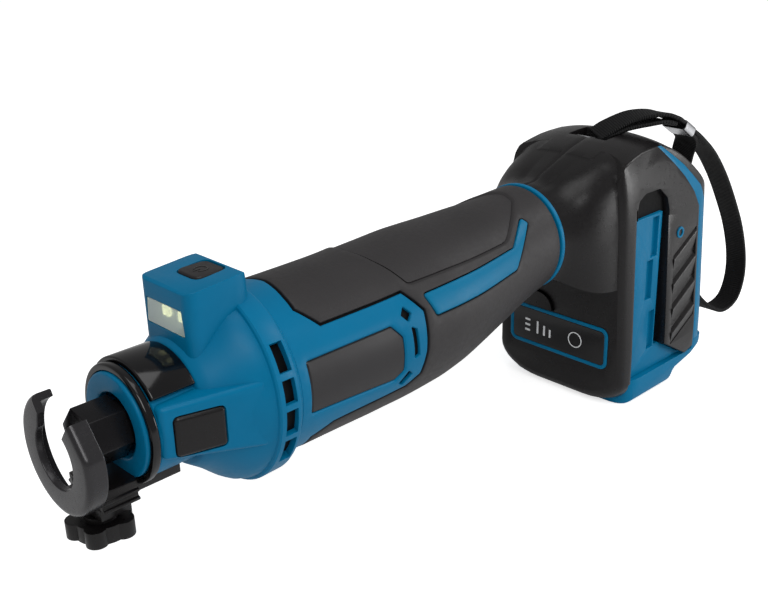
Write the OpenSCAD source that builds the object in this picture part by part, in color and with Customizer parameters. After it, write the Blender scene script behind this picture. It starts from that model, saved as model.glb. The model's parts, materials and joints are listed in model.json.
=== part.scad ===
// Cordless drywall cut-out tool: in-line grip, collet nose with a sliding depth foot,
// and a rear block that takes a battery pack from below.
// Millimetres. The spindle axis is the X axis, +X runs to the rear and +Z is up.

/* [Nose] */
// Outer radius of the nose ring
nose_ring_r = 16.1; // [15.7:0.1:16.5]
// Radius of the opening in the nose ring
nose_hole_r = 10; // [9.5:0.1:10.5]
// Depth of the nose ring along the spindle
nose_ring_len = 5; // [4.5:0.1:6]
// Outer radius of the bead ring
bead_r = 18.4; // [18:0.1:18.8]
// Width of the bead ring
bead_len = 2.7; // [2.4:0.1:3]
// Outer radius of the glossy collar
collar_r = 19.6; // [19.2:0.1:20.2]
// Wall of the collar
collar_wall = 2.2; // [1.8:0.1:2.6]
// Distance of the collar's rear edge from the nose
collar_rear_x = 18.5; // [17:0.5:20]
// Half of the angle that the collar spans about the top
collar_half_angle = 52; // [46:1:56]

/* [Front housing] */
// Distance of the vent band's front edge from the nose
band_x = 37; // [36:0.5:38]
// Width of the vent band
band_len = 7.5; // [7:0.1:8]
// Outer radius of the vent band
band_r = 31; // [30.6:0.1:31.4]
// Wall of the front housing
front_wall = 3.6; // [3.2:0.1:4]
// Vent slots on each side
vents_per_side = 4; // [2:1:4]
// Angle that a vent slot spans
vent_angle = 16; // [10:1:17]
// Angle of the rib between two vent slots
vent_rib_angle = 4; // [3:1:6]

/* [Tower] */
// Distance of the tower's front face from the nose
tower_x = 20.3; // [19.8:0.1:20.8]
// Length of the tower
tower_len = 21.2; // [20.6:0.1:21.8]
// Width of the tower
tower_w = 25; // [24:0.5:26]
// Height of the tower's top above the spindle axis
tower_top_z = 37.9; // [37.4:0.1:38.6]
// Width of the LED window
led_w = 18.6; // [16:0.2:19]
// Height of the LED window
led_h = 8.2; // [7:0.2:8.6]
// Side of the square power button
button_w = 11; // [9:0.2:11.4]
// Travel of the power button
button_travel = 1.5; // [1:0.1:1.8]

/* [Side pads] */
// Half-width of the housing over the pads at their front end
pad_front_y = 17.8; // [17:0.1:18.4]
// Half-width of the housing over the pads at their rear end
pad_rear_y = 26.4; // [25.5:0.1:27]
// Height of a pad
pad_h = 19; // [17:0.5:20]
// Length of the spindle lock button
lock_len = 14.6; // [13:0.2:15]
// Height of the spindle lock button
lock_h = 12.6; // [11:0.2:13]
// Travel of the spindle lock button
lock_travel = 2.4; // [2:0.1:2.6]

/* [Grip] */
// Radius of the grip over the motor
grip_r = 28; // [27.6:0.1:28.6]
// Thickness of the soft overmould
grip_t = 1.8; // [1.4:0.1:2]
// Wall of the grip shells
grip_wall = 2.3; // [2:0.1:2.5]
// Distance from the nose to where the grip starts to taper
taper_x = 112; // [110:1:114]
// Distance from the nose to the end of the grip
neck_x = 180; // [178:0.5:182]
// Radius of the neck
neck_r = 20.3; // [20:0.1:21]
// Rise of the neck above the spindle axis
neck_rise = 10; // [9:0.5:11]
// Length of the side panel
panel_len = 53; // [50:0.5:54]
// Length of the dark side window
window_len = 39.5; // [36:0.5:40]
// Height of the dark side window
window_h = 19; // [17:0.5:20]

/* [Rear block] */
// Distance of the block's front face from the nose
block_x = 207; // [206:0.5:208]
// Depth of the block from its front face to the rear band
block_len = 55; // [54:0.5:56]
// Width of the block at its foot
block_foot_w = 65; // [64:0.5:67]
// Width of the block at its top
block_top_w = 58.4; // [57.8:0.2:59]
// Height of the block's crown above the spindle axis
block_top_z = 41; // [40.5:0.1:42]
// Depth of the block's lower edge below the spindle axis
block_foot_z = 66; // [65:0.5:67]
// Wall of the block's shells
shell_wall = 2.6; // [2.2:0.1:3]
// Width of the arched side slot
arch_w = 22; // [20:0.5:22.5]
// Width of the rear band
rear_band_len = 4.4; // [4:0.1:5]
// Depth of the rear cover behind the band
rear_cover_len = 6; // [5:0.5:7]
// Width of the charge panel
charge_w = 47; // [44:0.5:48]
// Height of the charge panel
charge_h = 15; // [13:0.5:16]

/* [Battery pack] */
// Width of the pack's case
pack_w = 52; // [51.4:0.2:52.2]
// Wall of the pack's case
pack_wall = 1.8; // [1.5:0.1:2]
// Height of the pack's base
base_h = 10.5; // [10:0.1:11]
// Radius of a cell
cell_r = 9.1; // [8.8:0.1:9.2]
// Length of a cell
cell_len = 65; // [60:0.5:66]

/* [Drive] */
// Radius of the tool shank that the collet takes
collet_bore_r = 3.175; // [3:0.025:3.25]
// Width of the collet nut across its flats
nut_flats = 16.4; // [15.6:0.2:16.8]
// Length of the collet nut
nut_len = 11.5; // [11:0.1:12]
// Radius of the spindle at its bearings
spindle_r = 4; // [3.8:0.1:4.1]
// Outer radius of a bearing
bearing_r = 11; // [10.8:0.1:11.2]
// Width of a bearing
bearing_len = 7; // [6:0.5:7]
// Balls in a bearing
bearing_balls = 8; // [6:1:9]
// Outer radius of the stator
stator_r = 23.4; // [22.8:0.1:23.5]
// Length of the stator
stator_len = 28; // [24:1:30]
// Teeth of the stator
stator_teeth = 6; // [6:3:9]
// Outer radius of the fan
fan_r = 24; // [22:0.5:25]
// Blades of the fan
fan_blades = 9; // [7:2:13]
// Notches in the lock collar
lock_notches = 12; // [6:6:12]

/* [Depth guide] */
// Outer radius of the C-shaped foot
foot_r = 18.2; // [17.8:0.1:18.6]
// Inner radius of the C-shaped foot
foot_hole_r = 10; // [9.6:0.1:10.4]
// Thickness of the foot along the spindle
foot_t = 6.2; // [5.8:0.1:6.4]
// Angle that is open at the foot's top, towards the side of the lock button
foot_gap_near = 38; // [34:1:42]
// Angle that is open at the foot's top, towards the other side
foot_gap_far = 29; // [25:1:33]
// Outer radius of the clamp knob
knob_r = 10.4; // [9.5:0.1:11]
// Height of the clamp knob
knob_h = 5.3; // [5:0.1:5.8]
// Lobes of the clamp knob
knob_lobes = 5; // [5:1:7]
// Radius of the knob's stud
stud_r = 2.5; // [2.2:0.1:2.8]

/* [Strap] */
// Width of the wrist strap
strap_w = 10; // [9:0.5:11]
// Thickness of the wrist strap
strap_t = 1.6; // [1.4:0.1:1.8]

/* [Hidden] */

$fn = 64;
// Overrun of a cut past the face that it opens
cut = 1;
// Gap between flat faces of pieces that move past each other
slip = 0.3;
// Gap between curved faces of pieces that move past each other
clear = 0.4;
// Radial gap of a running fit
run_fit = 0.05;
// Reach of a tool that cuts right through the part
reach = 400;
// Facets of a rounded corner inside a hull
corner_fn = 24;
// Sides of the tool: -1 is the side with the lock button, 1 is the other
near_side = -1;
far_side = 1;

// Nose
bead_x = 0.9;
bead_gap = 0.3;
bead_inner_r = nose_ring_r + bead_gap;
collar_x = bead_x + bead_len + slip;
nose_tube_r = collar_r - collar_wall;
nose_bore_r = nose_hole_r + slip;

// Front housing
flare_run = 1;
flare_step = 0.8;
band_fall = 2;
flare_x = band_x - flare_run;
flare_r = band_r - flare_step;
grip_x = band_x + band_len + band_fall;
fan_room_x = 31;
fan_room_r = band_r - front_wall;
fan_room_front_r = 21.5;
lock_room_x = 11;
lock_room_r = 12;
seat_x = 22;
seat_lip_r = 9.6;
seat_lip_t = 2;
vent_inset = 1.3;

// Tower and its pieces
tower_round = 2.4;
tower_edge = 1.2;
tower_foot_z = 8;
tower_heel_x = 2.3;
tower_heel_z = 11;
led_z = 27.3;
led_room_len = 6.6;
lens_t = 1.8;
lens_set = 0.3;
board_t = 1;
chip_w = 3.2;
chip_h = 2.8;
chip_t = 0.8;
chip_gap_share = 0.27;
button_set = 13.6;
button_x = tower_x + button_set;
button_h = 4.7;
button_proud = 0.5;
button_rest = 1;
button_round = 2.6;
button_low_z = tower_top_z + button_proud - button_h;
switch_w = 8;
switch_h = 1.5;
button_floor_z = button_low_z - button_travel - switch_h - button_rest;
switch_top_z = button_floor_z + switch_h;

// Side pads and the spindle lock
pad_x = collar_x;
pad_end_gap = 2;
pad_end_x = band_x - pad_end_gap;
pad_round = 1.6;
pad_slope = (pad_rear_y - pad_front_y) / (pad_end_x - pad_x);
pad_core_y = 6;
lock_x = 15;
lock_proud = 0.9;
lock_back_y = 17;
lock_rest = 1.2;
lock_floor_y = lock_back_y - lock_travel - lock_rest;
lock_round = 1.8;
lock_pin_r = 1.3;
lock_collar_r = 9.5;
lock_collar_len = 6;
lock_notch_w = 3;
lock_notch_h = lock_travel + slip;
lock_pin_tip_y = lock_collar_r + slip;

// Springs
spring_wire_r = 0.3;
spring_turns = 3;
spring_coil_sides = 10;
spring_wire_sides = 6;
button_spring_r = 2.6;
lock_spring_r = 2.4;

// Drive
collet_r = 4.7;
nut_set = 0.4;
collet_front_x = -nut_len - nut_set;
collet_len = 22;
nose_thread_r = 6.9;
nut_lip = 4;
nut_rear_x = 0.5;
nut_front_x = nut_rear_x - nut_len - nut_set;
nut_turn = -20;
spindle_step_r = 5;
spindle_end_x = 106;
rear_bearing_x = 96;
bearing_inner_r = 5.9;
bearing_outer_in_r = 9.3;
fan_hub_r = 8;
fan_x = 33;
fan_blade_len = 8;
fan_plate_t = 1.4;
fan_blade_t = 1.2;
rotor_x = 58;
rotor_r = 11.6;
magnet_r = 13;
magnet_count = 4;
magnet_angle = 78;
stator_bore_r = 13.5;
stator_back_t = 4;
stator_tooth_w = 5;
winding_w = 9.4;
winding_over = 3;
winding_low_r = 14.6;
hall_gap = 1.6;
hall_x = rotor_x + stator_len + winding_over + hall_gap;
hall_r = 23.4;
hall_hole_r = 9;

// Grip
shell_r = grip_r - grip_t;
shell_in_r = shell_r - grip_wall;
neck_shell_r = neck_r - grip_t;
neck_in_r = neck_shell_r - grip_wall;
taper_angle = atan(neck_rise / (neck_x - taper_x));
taper_len = norm([neck_x - taper_x, neck_rise]);
bulkhead_wall = 2;
bulkhead_t = bearing_len + bulkhead_wall;
neck_ring_len = 2;
neck_ring_proud = 0.5;
panel_from_y = 5;
panel_x = grip_x;
panel_h = 32;
panel_z = 2.3;
panel_shares = [[0, 0.68], [0.155, 0.64], [0.255, 0.5], [0.89, 0.5], [1, 0.29], [0.99, -0.13],
    [0.96, -0.38], [0.855, -0.48], [0.28, -0.5], [0.13, -0.6], [0, -0.72]];
window_x = 50.3;
window_z = 1.6;
window_deep = 1.5;
window_proud = 0.15;
window_shares = [[0, 0.49], [0.9, 0.49], [1, 0.25], [1, -0.39], [0.9, -0.52], [0, -0.45]];
slot_deep = 2.2;
panel_slot_x = 92.6;
panel_slot_w = 3.4;
panel_slot_shares = [[[-0.6, 0.74], [0.35, 0.66], [0.55, 0.48], [-0.6, 0.52]],
    [[0.3, 0.34], [1, 0.26], [1, -0.12], [0.3, -0.04]],
    [[-0.6, -0.42], [0.5, -0.3], [0.5, -0.48], [-0.6, -0.6]]];
trim_x = 102.4;
trim_len = 62;
trim_h = 16;
trim_z = 8.8;
trim_deep = 0.9;
trim_proud = 0.35;
trim_shares = [[0, 0.46], [0.05, 0], [0.775, 0.12], [1, 0.86], [0.97, 1], [0.795, 0.57]];
board_x = 120;
board_len = 40;
board_w = 27;
board_z = 1;
board_pitch = 1.6;
part_w = 5;
part_h = 2.4;
part_count = 6;
cap_r = 5;
cap_len = 18;
rail_w = 4;
handle_screw_r = 1.5;
handle_screw_head_r = 2.8;
handle_screw_head_h = 2;
handle_screw_z = 17.5;
handle_screw_x = 109;
handle_screw_y_share = 0.6;

// Rear block
band_front_x = block_x + block_len;
block_rear_x = band_front_x + rear_band_len;
block_end_x = block_rear_x + rear_cover_len;
block_round = 3;
crown_w = 40;
crown_drop = 2.6;
crown_edge_z = block_top_z - crown_drop;
crown_inset = 4;
crest_w = 49;
bend_z = 24;
shoulder_x = neck_x + neck_ring_len;
shoulder_low_z = -9;
shoulder_mid_x = 193;
shoulder_mid_w = 51;
shoulder_mid_r = 9;
shoulder_mid_places = [3, 24];
shoulder_corners = [[block_top_w / 2, shoulder_low_z, 1], [block_top_w / 2, bend_z, 0],
    [crest_w / 2, crown_edge_z - block_round, -1]];
foot_edge_z = -block_foot_z;
foot_rise = 13;
foot_wide_z = foot_edge_z + foot_rise;
foot_flat_w = 44;
roof_t = 6;
bay_set = 6;
bay_top_z = block_top_z - roof_t;
bay_x = block_x + bay_set;
bay_w = pack_w + 2 * clear;
band_top_x = 229;
band_top_share = 1.5;
band_knee_run = 4;
band_knee_x = band_front_x - band_knee_run;
band_knee_z = 14.5;
band_turn_z = 8.5;
band_turn_rise = 1.5;
band_lift = 1;
band_top_z = crown_edge_z + band_lift;
cover_top_x = 240;
cover_knee_run = 3;
cover_knee_x = block_rear_x - cover_knee_run;
cover_knee_z = 24;
cover_round = 12;
cover_wall = 2.2;
band_low_z = -50.5;
arch_x = 227;
arch_spring_z = 13.6;
recess_h = 9.9;
recess_wall = 1.2;
recess_y = bay_w / 2 + recess_wall;
recess_shares = [[0, -0.1], [0, 0.5], [0.06, 0.76], [0.2, 0.96], [0.68, 1], [0.88, 0.66], [1, 0],
    [1, -0.1]];
leg_point_x = 255;
leg_point_z = -55;
leg_front_z = -45;
rib_count = 4;
rib_pitch = 9.6;
rib_w = 2;
rib_rise = 8.6;
rib_proud = 0.9;
grip_pad_x = 243;
grip_pad_len = 15;
grip_pad_z = -38;
boss_x = 247;
boss_z = 1.5;
boss_r = 2.4;
boss_hole_r = 1.4;
boss_proud = 0.4;
boss_foot_y = bay_w / 2 + slip;
screw_len = 2.4;
charge_z = -40;
charge_rim = 1.6;
charge_t = 1.2;
charge_round = 2;
tab_y = 10;
tab_r = 7;
tab_low_z = -30.4;
tab_t = 2;
tab_proud = 0.5;
tab_gap = 0.7;
latch_arm_h = 16;
latch_nose = 0.4;
latch_nose_h = 3;
latch_seat = 1.5;
latch_arm_w = 9;
latch_arm_t = 2;
latch_pin_r = 0.6;
latch_ear_t = 3;
latch_x = block_x + shell_wall + slip + tab_gap;
latch_pin_len = latch_arm_w + 2 * (latch_ear_t + clear + latch_seat);
terminal_w = 30;
terminal_h = 5;
terminal_len = 14;
terminal_x = 219;
blade_w = 7;
blade_t = 0.8;
blade_len = 9;
blade_places = [-9, 0, 9];

// Battery pack
pack_x = bay_x + slip;
pack_top_z = bay_top_z - slip;
base_z = foot_edge_z - slip;
pack_foot_z = base_z + base_h;
pack_back_gap = 2;
pack_knee_drop = 2.5;
pack_slope_x = band_top_x - pack_back_gap;
pack_end_x = band_front_x - slip;
pack_knee_x = band_knee_x - pack_back_gap;
pack_knee_z = band_knee_z - pack_knee_drop;
pack_end_z = 6;
rail_top_z = arch_spring_z - slip;
rail_len = 18.6;
rail_side_y = 28.6;
rail_slot_w = 4.5;
rail_slot_h = 17;
rail_slot_deep = 1.6;
rail_slot_places = [[230.6, -5], [228.4, -23], [232, -46]];
base_round = 6;
base_heel_x = 245;
base_heel_run = 4;
base_step_z = -60.4;
base_tail_low_z = -58;
base_tail_z = band_low_z - slip;
base_tail_x = band_front_x + slip;
cell_lift = 2;
cell_foot_z = pack_foot_z + cell_lift;
cell_gap = 0.2;
cell_pitch = 2 * cell_r + cell_gap;
holder_t = 2;
board_lift = 3;
clip_h = 6;
clip_w = 5.5;
clip_gap = 1.6;

// Depth guide
foot_x = -13.4;
foot_center_z = -2;
foot_bevel = 1.6;
bracket_x = -11.9;
bracket_len = 11.7;
bracket_w = 18;
bracket_top_z = -13.8;
plate_low_z = -19.8;
bracket_low_z = -24;
clamp_block_w = 14;
clamp_block_gap = 1.6;
tail_len = 15.6;
tail_w = 14;
tail_low_z = -19.2;
bar_w = 9.6;
bar_t = 2.6;
bar_low_z = -17.9;
bar_end_x = 12;
bar_slip = 0.2;
ridge_h = 1;
ridge_w = 1;
ridge_places = [-16.9, -19.6];
stud_x = -8.2;
knob_top_z = -25.8;
knob_core_r = 6.1;
knob_turn = 10.5;
hub_r = 5.2;
lobe_r = 3.3;

// Strap: route of its middle line from the anchor bar to the ferrule, then round the loop
strap_route = [[227.5, 0, 41], [233, -3, 44.5], [241, -8, 47.8], [248, -14, 48.6], [253, -17.4, 46.6],
    [256.8, -18, 44.2], [264.5, -18, 39.4], [272, -18, 34.6], [283, -18, 26], [294, -18, 14],
    [304, -18, 0], [313, -18, -15], [319, -18, -30], [320, -18, -42], [315, -18, -51],
    [306, -17, -54], [298, -15, -51], [290, -12, -43], [284, -9, -30], [281, -7.5, -12],
    [279.5, -8, 5], [276.5, -10, 19], [272.5, -13.4, 28], [268, -17, 33.6], [263.1, -18, 37.1],
    [257, -18, 41]];
strap_sides = 8;
strap_edge_share = 0.55;
bar_pin_r = 1.3;
bar_pin_len = 21;
bar_pin_x = 227.5;
bar_pin_deep = 2.4;
bar_pin_z = block_top_z - bar_pin_deep;
anchor_len = 9;
anchor_w = 17;
anchor_deep = 5;
ferrule_len = 9;
ferrule_room = 2.4;
ferrule_w = strap_w + ferrule_room;
ferrule_t = 3 * strap_t + ferrule_room;
ferrule_wall = 0.7;
ferrule_x = 260;
ferrule_y = -18;
ferrule_z = 40.6;
ferrule_angle = 32;

// Helpers

// Stands children that run along Z up along X, with their foot at x
module along_x(x) {
    translate([x, 0, 0]) rotate([0, 90, 0]) children();
}

// Turns a profile of [x, radius] points about the spindle axis
module turned(points) {
    rotate([0, 90, 0]) rotate_extrude() polygon([for (p = points) [p[1], p[0]]]);
}

// A round tube about the spindle axis
module tube_x(x, len, r_out, r_in) {
    along_x(x) difference() {
        cylinder(h = len, r = r_out);
        translate([0, 0, -cut]) cylinder(h = len + 2 * cut, r = r_in);
    }
}

// A pie-shaped prism about the spindle axis; an angle of 0 points to -Y and 90 points up
module wedge_x(x, len, from, to, r) {
    steps = 12;
    along_x(x) linear_extrude(len)
        polygon(concat([[0, 0]], [for (i = [0:steps]) let (a = from + (to - from) * i / steps)
            [-r * sin(a), -r * cos(a)]]));
}

// Extrudes an outline of [x, z] points across the tool from y_from to y_to
module side_prism(points, y_from, y_to) {
    translate([0, y_to, 0]) rotate([90, 0, 0]) linear_extrude(y_to - y_from) polygon(points);
}

// A block given by its low corner and its size
module block(low, size) {
    translate(low) cube(size);
}

// Half of the space on one side of the mid plane
module half_space(side) {
    block([-reach, side < 0 ? -reach : 0, -reach], [3 * reach, reach, 2 * reach]);
}

// An outline of shares, set at x and z and scaled by a length and a height
function outline(shares, x, z, len, h) = [for (s = shares) [x + s[0] * len, z + s[1] * h]];

// One coil spring along Z, as an unbroken wire
module coil_spring(h, r) {
    rings = spring_turns * spring_coil_sides;
    lift = h - 2 * spring_wire_r;
    points = [for (i = [0:rings], j = [0:spring_wire_sides - 1])
        let (a = 360 * i / spring_coil_sides, b = 360 * j / spring_wire_sides)
        let (q = r + spring_wire_r * cos(b))
        [q * cos(a), q * sin(a), spring_wire_r + lift * i / rings + spring_wire_r * sin(b)]];
    polyhedron(points, swept_faces(rings, spring_wire_sides));
}

// Faces of a tube of rings with the same number of sides, closed at both ends
function swept_faces(rings, sides) = concat(
    [[for (j = [0:sides - 1]) j]],
    [for (i = [0:rings - 1], j = [0:sides - 1], half = [0, 1])
        let (a = i * sides + j, b = i * sides + (j + 1) % sides)
        half == 0 ? [a, a + sides, b + sides] : [a, b + sides, b]],
    [[for (j = [sides - 1:-1:0]) rings * sides + j]]);

// Nose

// The notch that the bracket's tail takes under the nose
module tail_notch() {
    block([-cut, -tail_w / 2, bracket_top_z - reach], [tail_len + cut, tail_w, reach]);
}

module nose_ring() {
    color("steelblue") difference() {
        tube_x(0, nose_ring_len, nose_ring_r, nose_hole_r);
        tail_notch();
    }
}

module nose_bead_ring() {
    color("black") difference() {
        turned([[bead_x, bead_inner_r], [bead_x, bead_r - bead_len / 3],
            [bead_x + bead_len / 3, bead_r], [bead_x + 2 * bead_len / 3, bead_r],
            [bead_x + bead_len, bead_r - bead_len / 3], [bead_x + bead_len, bead_inner_r]]);
        tail_notch();
    }
}

module nose_collar() {
    color("black") intersection() {
        tube_x(collar_x, collar_rear_x - collar_x, collar_r, nose_tube_r);
        wedge_x(0, reach, 90 - collar_half_angle, 90 + collar_half_angle, 2 * collar_r);
    }
}

// Front housing

module front_solid() {
    turned([[nose_ring_len, 0], [nose_ring_len, nose_tube_r], [collar_rear_x, nose_tube_r],
        [collar_rear_x, collar_r], [flare_x, flare_r], [band_x, band_r], [band_x + band_len, band_r],
        [grip_x, grip_r], [grip_x, 0]]);
}

module front_hollow() {
    turned([[nose_ring_len - cut, 0], [nose_ring_len - cut, nose_bore_r], [lock_room_x, nose_bore_r],
        [lock_room_x, lock_room_r], [seat_x - seat_lip_t, lock_room_r], [seat_x - seat_lip_t, seat_lip_r],
        [seat_x, seat_lip_r], [seat_x, bearing_r], [seat_x + bearing_len, bearing_r],
        [fan_room_x, fan_room_front_r], [band_x, fan_room_r], [grip_x + cut, fan_room_r],
            [grip_x + cut, 0]]);
}

// A side pad: a wedge with rounded corners that follows the flare
module side_pad(side) {
    intersection() {
        translate([0, 0, -pad_h / 2]) linear_extrude(pad_h)
            polygon([[pad_x, side * pad_core_y], [pad_x, side * pad_front_y],
                [pad_end_x, side * pad_rear_y], [pad_end_x, side * pad_core_y]]);
        rotate([90, 0, 0]) translate([(pad_x + pad_end_x) / 2, 0, -reach / 2]) linear_extrude(reach)
            rounded_square(pad_end_x - pad_x, pad_h, pad_round);
    }
}

module tower_solid() {
    rear_x = tower_x + tower_len;
    edge_z = tower_top_z - tower_edge - block_round / 4;
    hull() {
        slab(tower_x, rear_x, tower_w, tower_foot_z);
        slab(tower_x, rear_x + tower_heel_x, tower_w, tower_top_z - tower_heel_z);
        slab(tower_x, rear_x, tower_w, edge_z);
        slab(tower_x + tower_edge, rear_x - tower_edge, tower_w - 2 * tower_edge,
            tower_top_z - block_round / 4);
    }
}

module vent_cuts() {
    pitch = vent_angle + vent_rib_angle;
    first = -(vents_per_side * pitch - vent_rib_angle) / 2;
    difference() {
        for (turn = [0, 180], i = [0:vents_per_side - 1])
            wedge_x(band_x + vent_inset, band_len - 2 * vent_inset, turn + first + i * pitch,
                turn + first + i * pitch + vent_angle, 2 * band_r);
        along_x(0) cylinder(h = reach, r = fan_room_r - cut);
    }
}

module front_housing() {
    color("steelblue") difference() {
        union() {
            front_solid();
            side_pad(near_side);
            side_pad(far_side);
            difference() {
                tower_solid();
                along_x(0) cylinder(h = band_x, r = nose_tube_r);
                turned([[flare_x, 0], [flare_x, flare_r], [band_x, band_r], [reach, band_r], [reach, 0]]);
            }
        }
        front_hollow();
        // Seat of the collar
        intersection() {
            tube_x(collar_x - cut, collar_rear_x - collar_x + cut, 2 * collar_r, nose_tube_r);
            wedge_x(0, reach, 90 - collar_half_angle, 90 + collar_half_angle, 4 * collar_r);
            block([0, -reach, 0], [collar_rear_x, 2 * reach, tower_foot_z + tower_round + collar_r]);
        }
        // Room for the nose ring and the bead ring
        along_x(-cut) cylinder(h = nose_ring_len + cut, r = bead_r + slip);
        // LED window and its room
        block([tower_x - cut, -led_w / 2, led_z - led_h / 2], [led_room_len + cut, led_w, led_h]);
        // Well of the power button
        power_well();
        lock_pocket();
        vent_cuts();
        // Seat of the bracket under the nose
        tail_notch();
    }
}

module rounded_square(w, h, round) {
    square([w - 2 * round, h], center = true);
    square([w, h - 2 * round], center = true);
    for (x = [-1, 1], y = [-1, 1])
        translate([x * (w / 2 - round), y * (h / 2 - round)]) circle(r = round, $fn = corner_fn);
}

module power_well() {
    well_w = button_w + 2 * slip;
    translate([button_x, 0, button_floor_z]) linear_extrude(reach) square(well_w, center = true);
}

module led_lens() {
    color("whitesmoke") block([tower_x + lens_set, -led_w / 2, led_z - led_h / 2],
        [lens_t, led_w, led_h]);
}

module led_board() {
    back_x = tower_x + led_room_len;
    color("palegoldenrod") union() {
        block([back_x - board_t, -led_w / 2, led_z - led_h / 2], [board_t, led_w, led_h]);
        for (side = [-1, 1])
            block([back_x - board_t - chip_t, side * chip_gap_share * led_w - chip_w / 2,
                led_z - chip_h / 2],
                [chip_t, chip_w, chip_h]);
    }
}

module power_button() {
    color("dimgray") translate([button_x, 0, button_low_z]) linear_extrude(button_h)
        rounded_square(button_w, button_w, button_round);
}

module power_spring() {
    color("silver") translate([button_x, 0, switch_top_z])
        coil_spring(button_low_z - switch_top_z, button_spring_r);
}

module power_switch() {
    color("gray") block([button_x - switch_w / 2, -switch_w / 2, button_floor_z],
        [switch_w, switch_w, switch_h]);
}

function pad_y(x) = pad_front_y + pad_slope * (x - pad_x);

module lock_pocket() {
    room_len = lock_len + 2 * slip;
    room_h = lock_h + 2 * slip;
    block([lock_x - room_len / 2, -reach, -room_h / 2], [room_len, reach - lock_floor_y, room_h]);
    translate([lock_x, 0, 0]) rotate([90, 0, 0])
        cylinder(h = lock_floor_y + cut, r = lock_pin_r + run_fit);
}

module lock_button() {
    front_x = lock_x - lock_len / 2;
    rear_x = lock_x + lock_len / 2;
    color("black") translate([0, 0, -lock_h / 2]) linear_extrude(lock_h)
        polygon([[front_x, -lock_back_y], [front_x, -pad_y(front_x) - lock_proud],
            [rear_x, -pad_y(rear_x) - lock_proud], [rear_x, -lock_back_y]]);
}

module lock_pin() {
    color("silver") translate([lock_x, -lock_pin_tip_y, 0]) rotate([90, 0, 0])
        cylinder(h = lock_back_y - lock_pin_tip_y, r = lock_pin_r);
}

module lock_spring() {
    color("silver") translate([lock_x, -lock_floor_y, 0]) rotate([90, 0, 0])
        coil_spring(lock_back_y - lock_floor_y, lock_spring_r);
}

// Drive

module spindle() {
    color("silver") difference() {
        turned([[nut_front_x + nut_lip + slip, 0], [nut_front_x + nut_lip + slip, nose_thread_r],
            [lock_room_x - slip, nose_thread_r], [lock_room_x - slip, spindle_step_r],
            [seat_x, spindle_step_r], [seat_x, spindle_r], [spindle_end_x, spindle_r],
                [spindle_end_x, 0]]);
        along_x(collet_front_x) cylinder(h = collet_len, r = collet_r);
    }
}

module collet() {
    color("gray") tube_x(collet_front_x, collet_len, collet_r, collet_bore_r);
}

module collet_nut() {
    color("dimgray") rotate([nut_turn, 0, 0]) along_x(nut_front_x) difference() {
        cylinder(h = nut_rear_x - nut_front_x, r = nut_flats / sqrt(3), $fn = 6);
        translate([0, 0, -cut]) cylinder(h = nut_lip + 2 * cut, r = collet_r);
        translate([0, 0, nut_lip]) cylinder(h = reach, r = nose_thread_r);
    }
}

module lock_collar() {
    color("silver") difference() {
        tube_x(lock_x - lock_collar_len / 2, lock_collar_len, lock_collar_r, spindle_step_r);
        for (i = [0:lock_notches - 1])
            rotate([360 * i / lock_notches, 0, 0])
                block([lock_x - lock_collar_len, lock_collar_r - lock_notch_h, -lock_notch_w / 2],
                    [2 * lock_collar_len, reach, lock_notch_w]);
    }
}

module cooling_fan() {
    plate_x = fan_x + fan_blade_len;
    end_x = plate_x + fan_plate_t;
    color("white") union() {
        tube_x(fan_x, end_x - fan_x, fan_hub_r, spindle_r);
        tube_x(plate_x, fan_plate_t, fan_r, spindle_r);
        intersection() {
            union() {
                for (i = [0:fan_blades - 1])
                    rotate([360 * i / fan_blades, 0, 0])
                        block([fan_x, fan_hub_r - cut, -fan_blade_t / 2],
                            [end_x - fan_x, reach, fan_blade_t]);
            }
            turned([[fan_x, 0], [fan_x, fan_room_front_r - clear], [plate_x, fan_r],
                [end_x, fan_r], [end_x, 0]]);
        }
    }
}

module rotor_core() {
    color("gray") tube_x(rotor_x, stator_len, rotor_r, spindle_r);
}

module rotor_magnets() {
    color("dimgray") for (i = [0:magnet_count - 1])
        intersection() {
            tube_x(rotor_x, stator_len, magnet_r, rotor_r);
            wedge_x(0, reach, 360 * i / magnet_count, 360 * i / magnet_count + magnet_angle,
                2 * magnet_r);
        }
}

module at_bearings() {
    for (x = [seat_x, rear_bearing_x]) translate([x, 0, 0]) children();
}

module bearing_inner_rings() {
    color("silver") at_bearings() tube_x(0, bearing_len, bearing_inner_r, spindle_r);
}

module bearing_outer_rings() {
    color("silver") at_bearings() tube_x(0, bearing_len, bearing_r, bearing_outer_in_r);
}

module bearing_balls_set() {
    pitch_r = (bearing_inner_r + bearing_outer_in_r) / 2;
    ball_r = (bearing_outer_in_r - bearing_inner_r) / 2 - run_fit;
    color("white") at_bearings()
        for (i = [0:bearing_balls - 1])
            rotate([360 * i / bearing_balls, 0, 0]) translate([bearing_len / 2, pitch_r, 0])
                sphere(r = ball_r);
}

module stator_tooth(w, len, r_low) {
    block([rotor_x - (len - stator_len) / 2, r_low, -w / 2],
        [len, stator_r - stator_back_t / 2 - r_low, w]);
}

module stator_core() {
    color("gray") difference() {
        union() {
            tube_x(rotor_x, stator_len, stator_r, stator_r - stator_back_t);
            for (i = [0:stator_teeth - 1])
                rotate([360 * i / stator_teeth, 0, 0])
                    stator_tooth(stator_tooth_w, stator_len, stator_bore_r / 2);
        }
        along_x(0) cylinder(h = reach, r = stator_bore_r);
    }
}

module stator_windings() {
    color("chocolate") intersection() {
        for (i = [0:stator_teeth - 1])
            rotate([360 * i / stator_teeth, 0, 0]) difference() {
                stator_tooth(winding_w, stator_len + 2 * winding_over, winding_low_r);
                stator_tooth(stator_tooth_w, stator_len, winding_low_r - cut);
            }
        along_x(0) cylinder(h = reach, r = stator_r - stator_back_t);
    }
}

module hall_board() {
    color("darkgreen") tube_x(hall_x, board_t, hall_r, hall_hole_r);
}

// Grip

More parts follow.
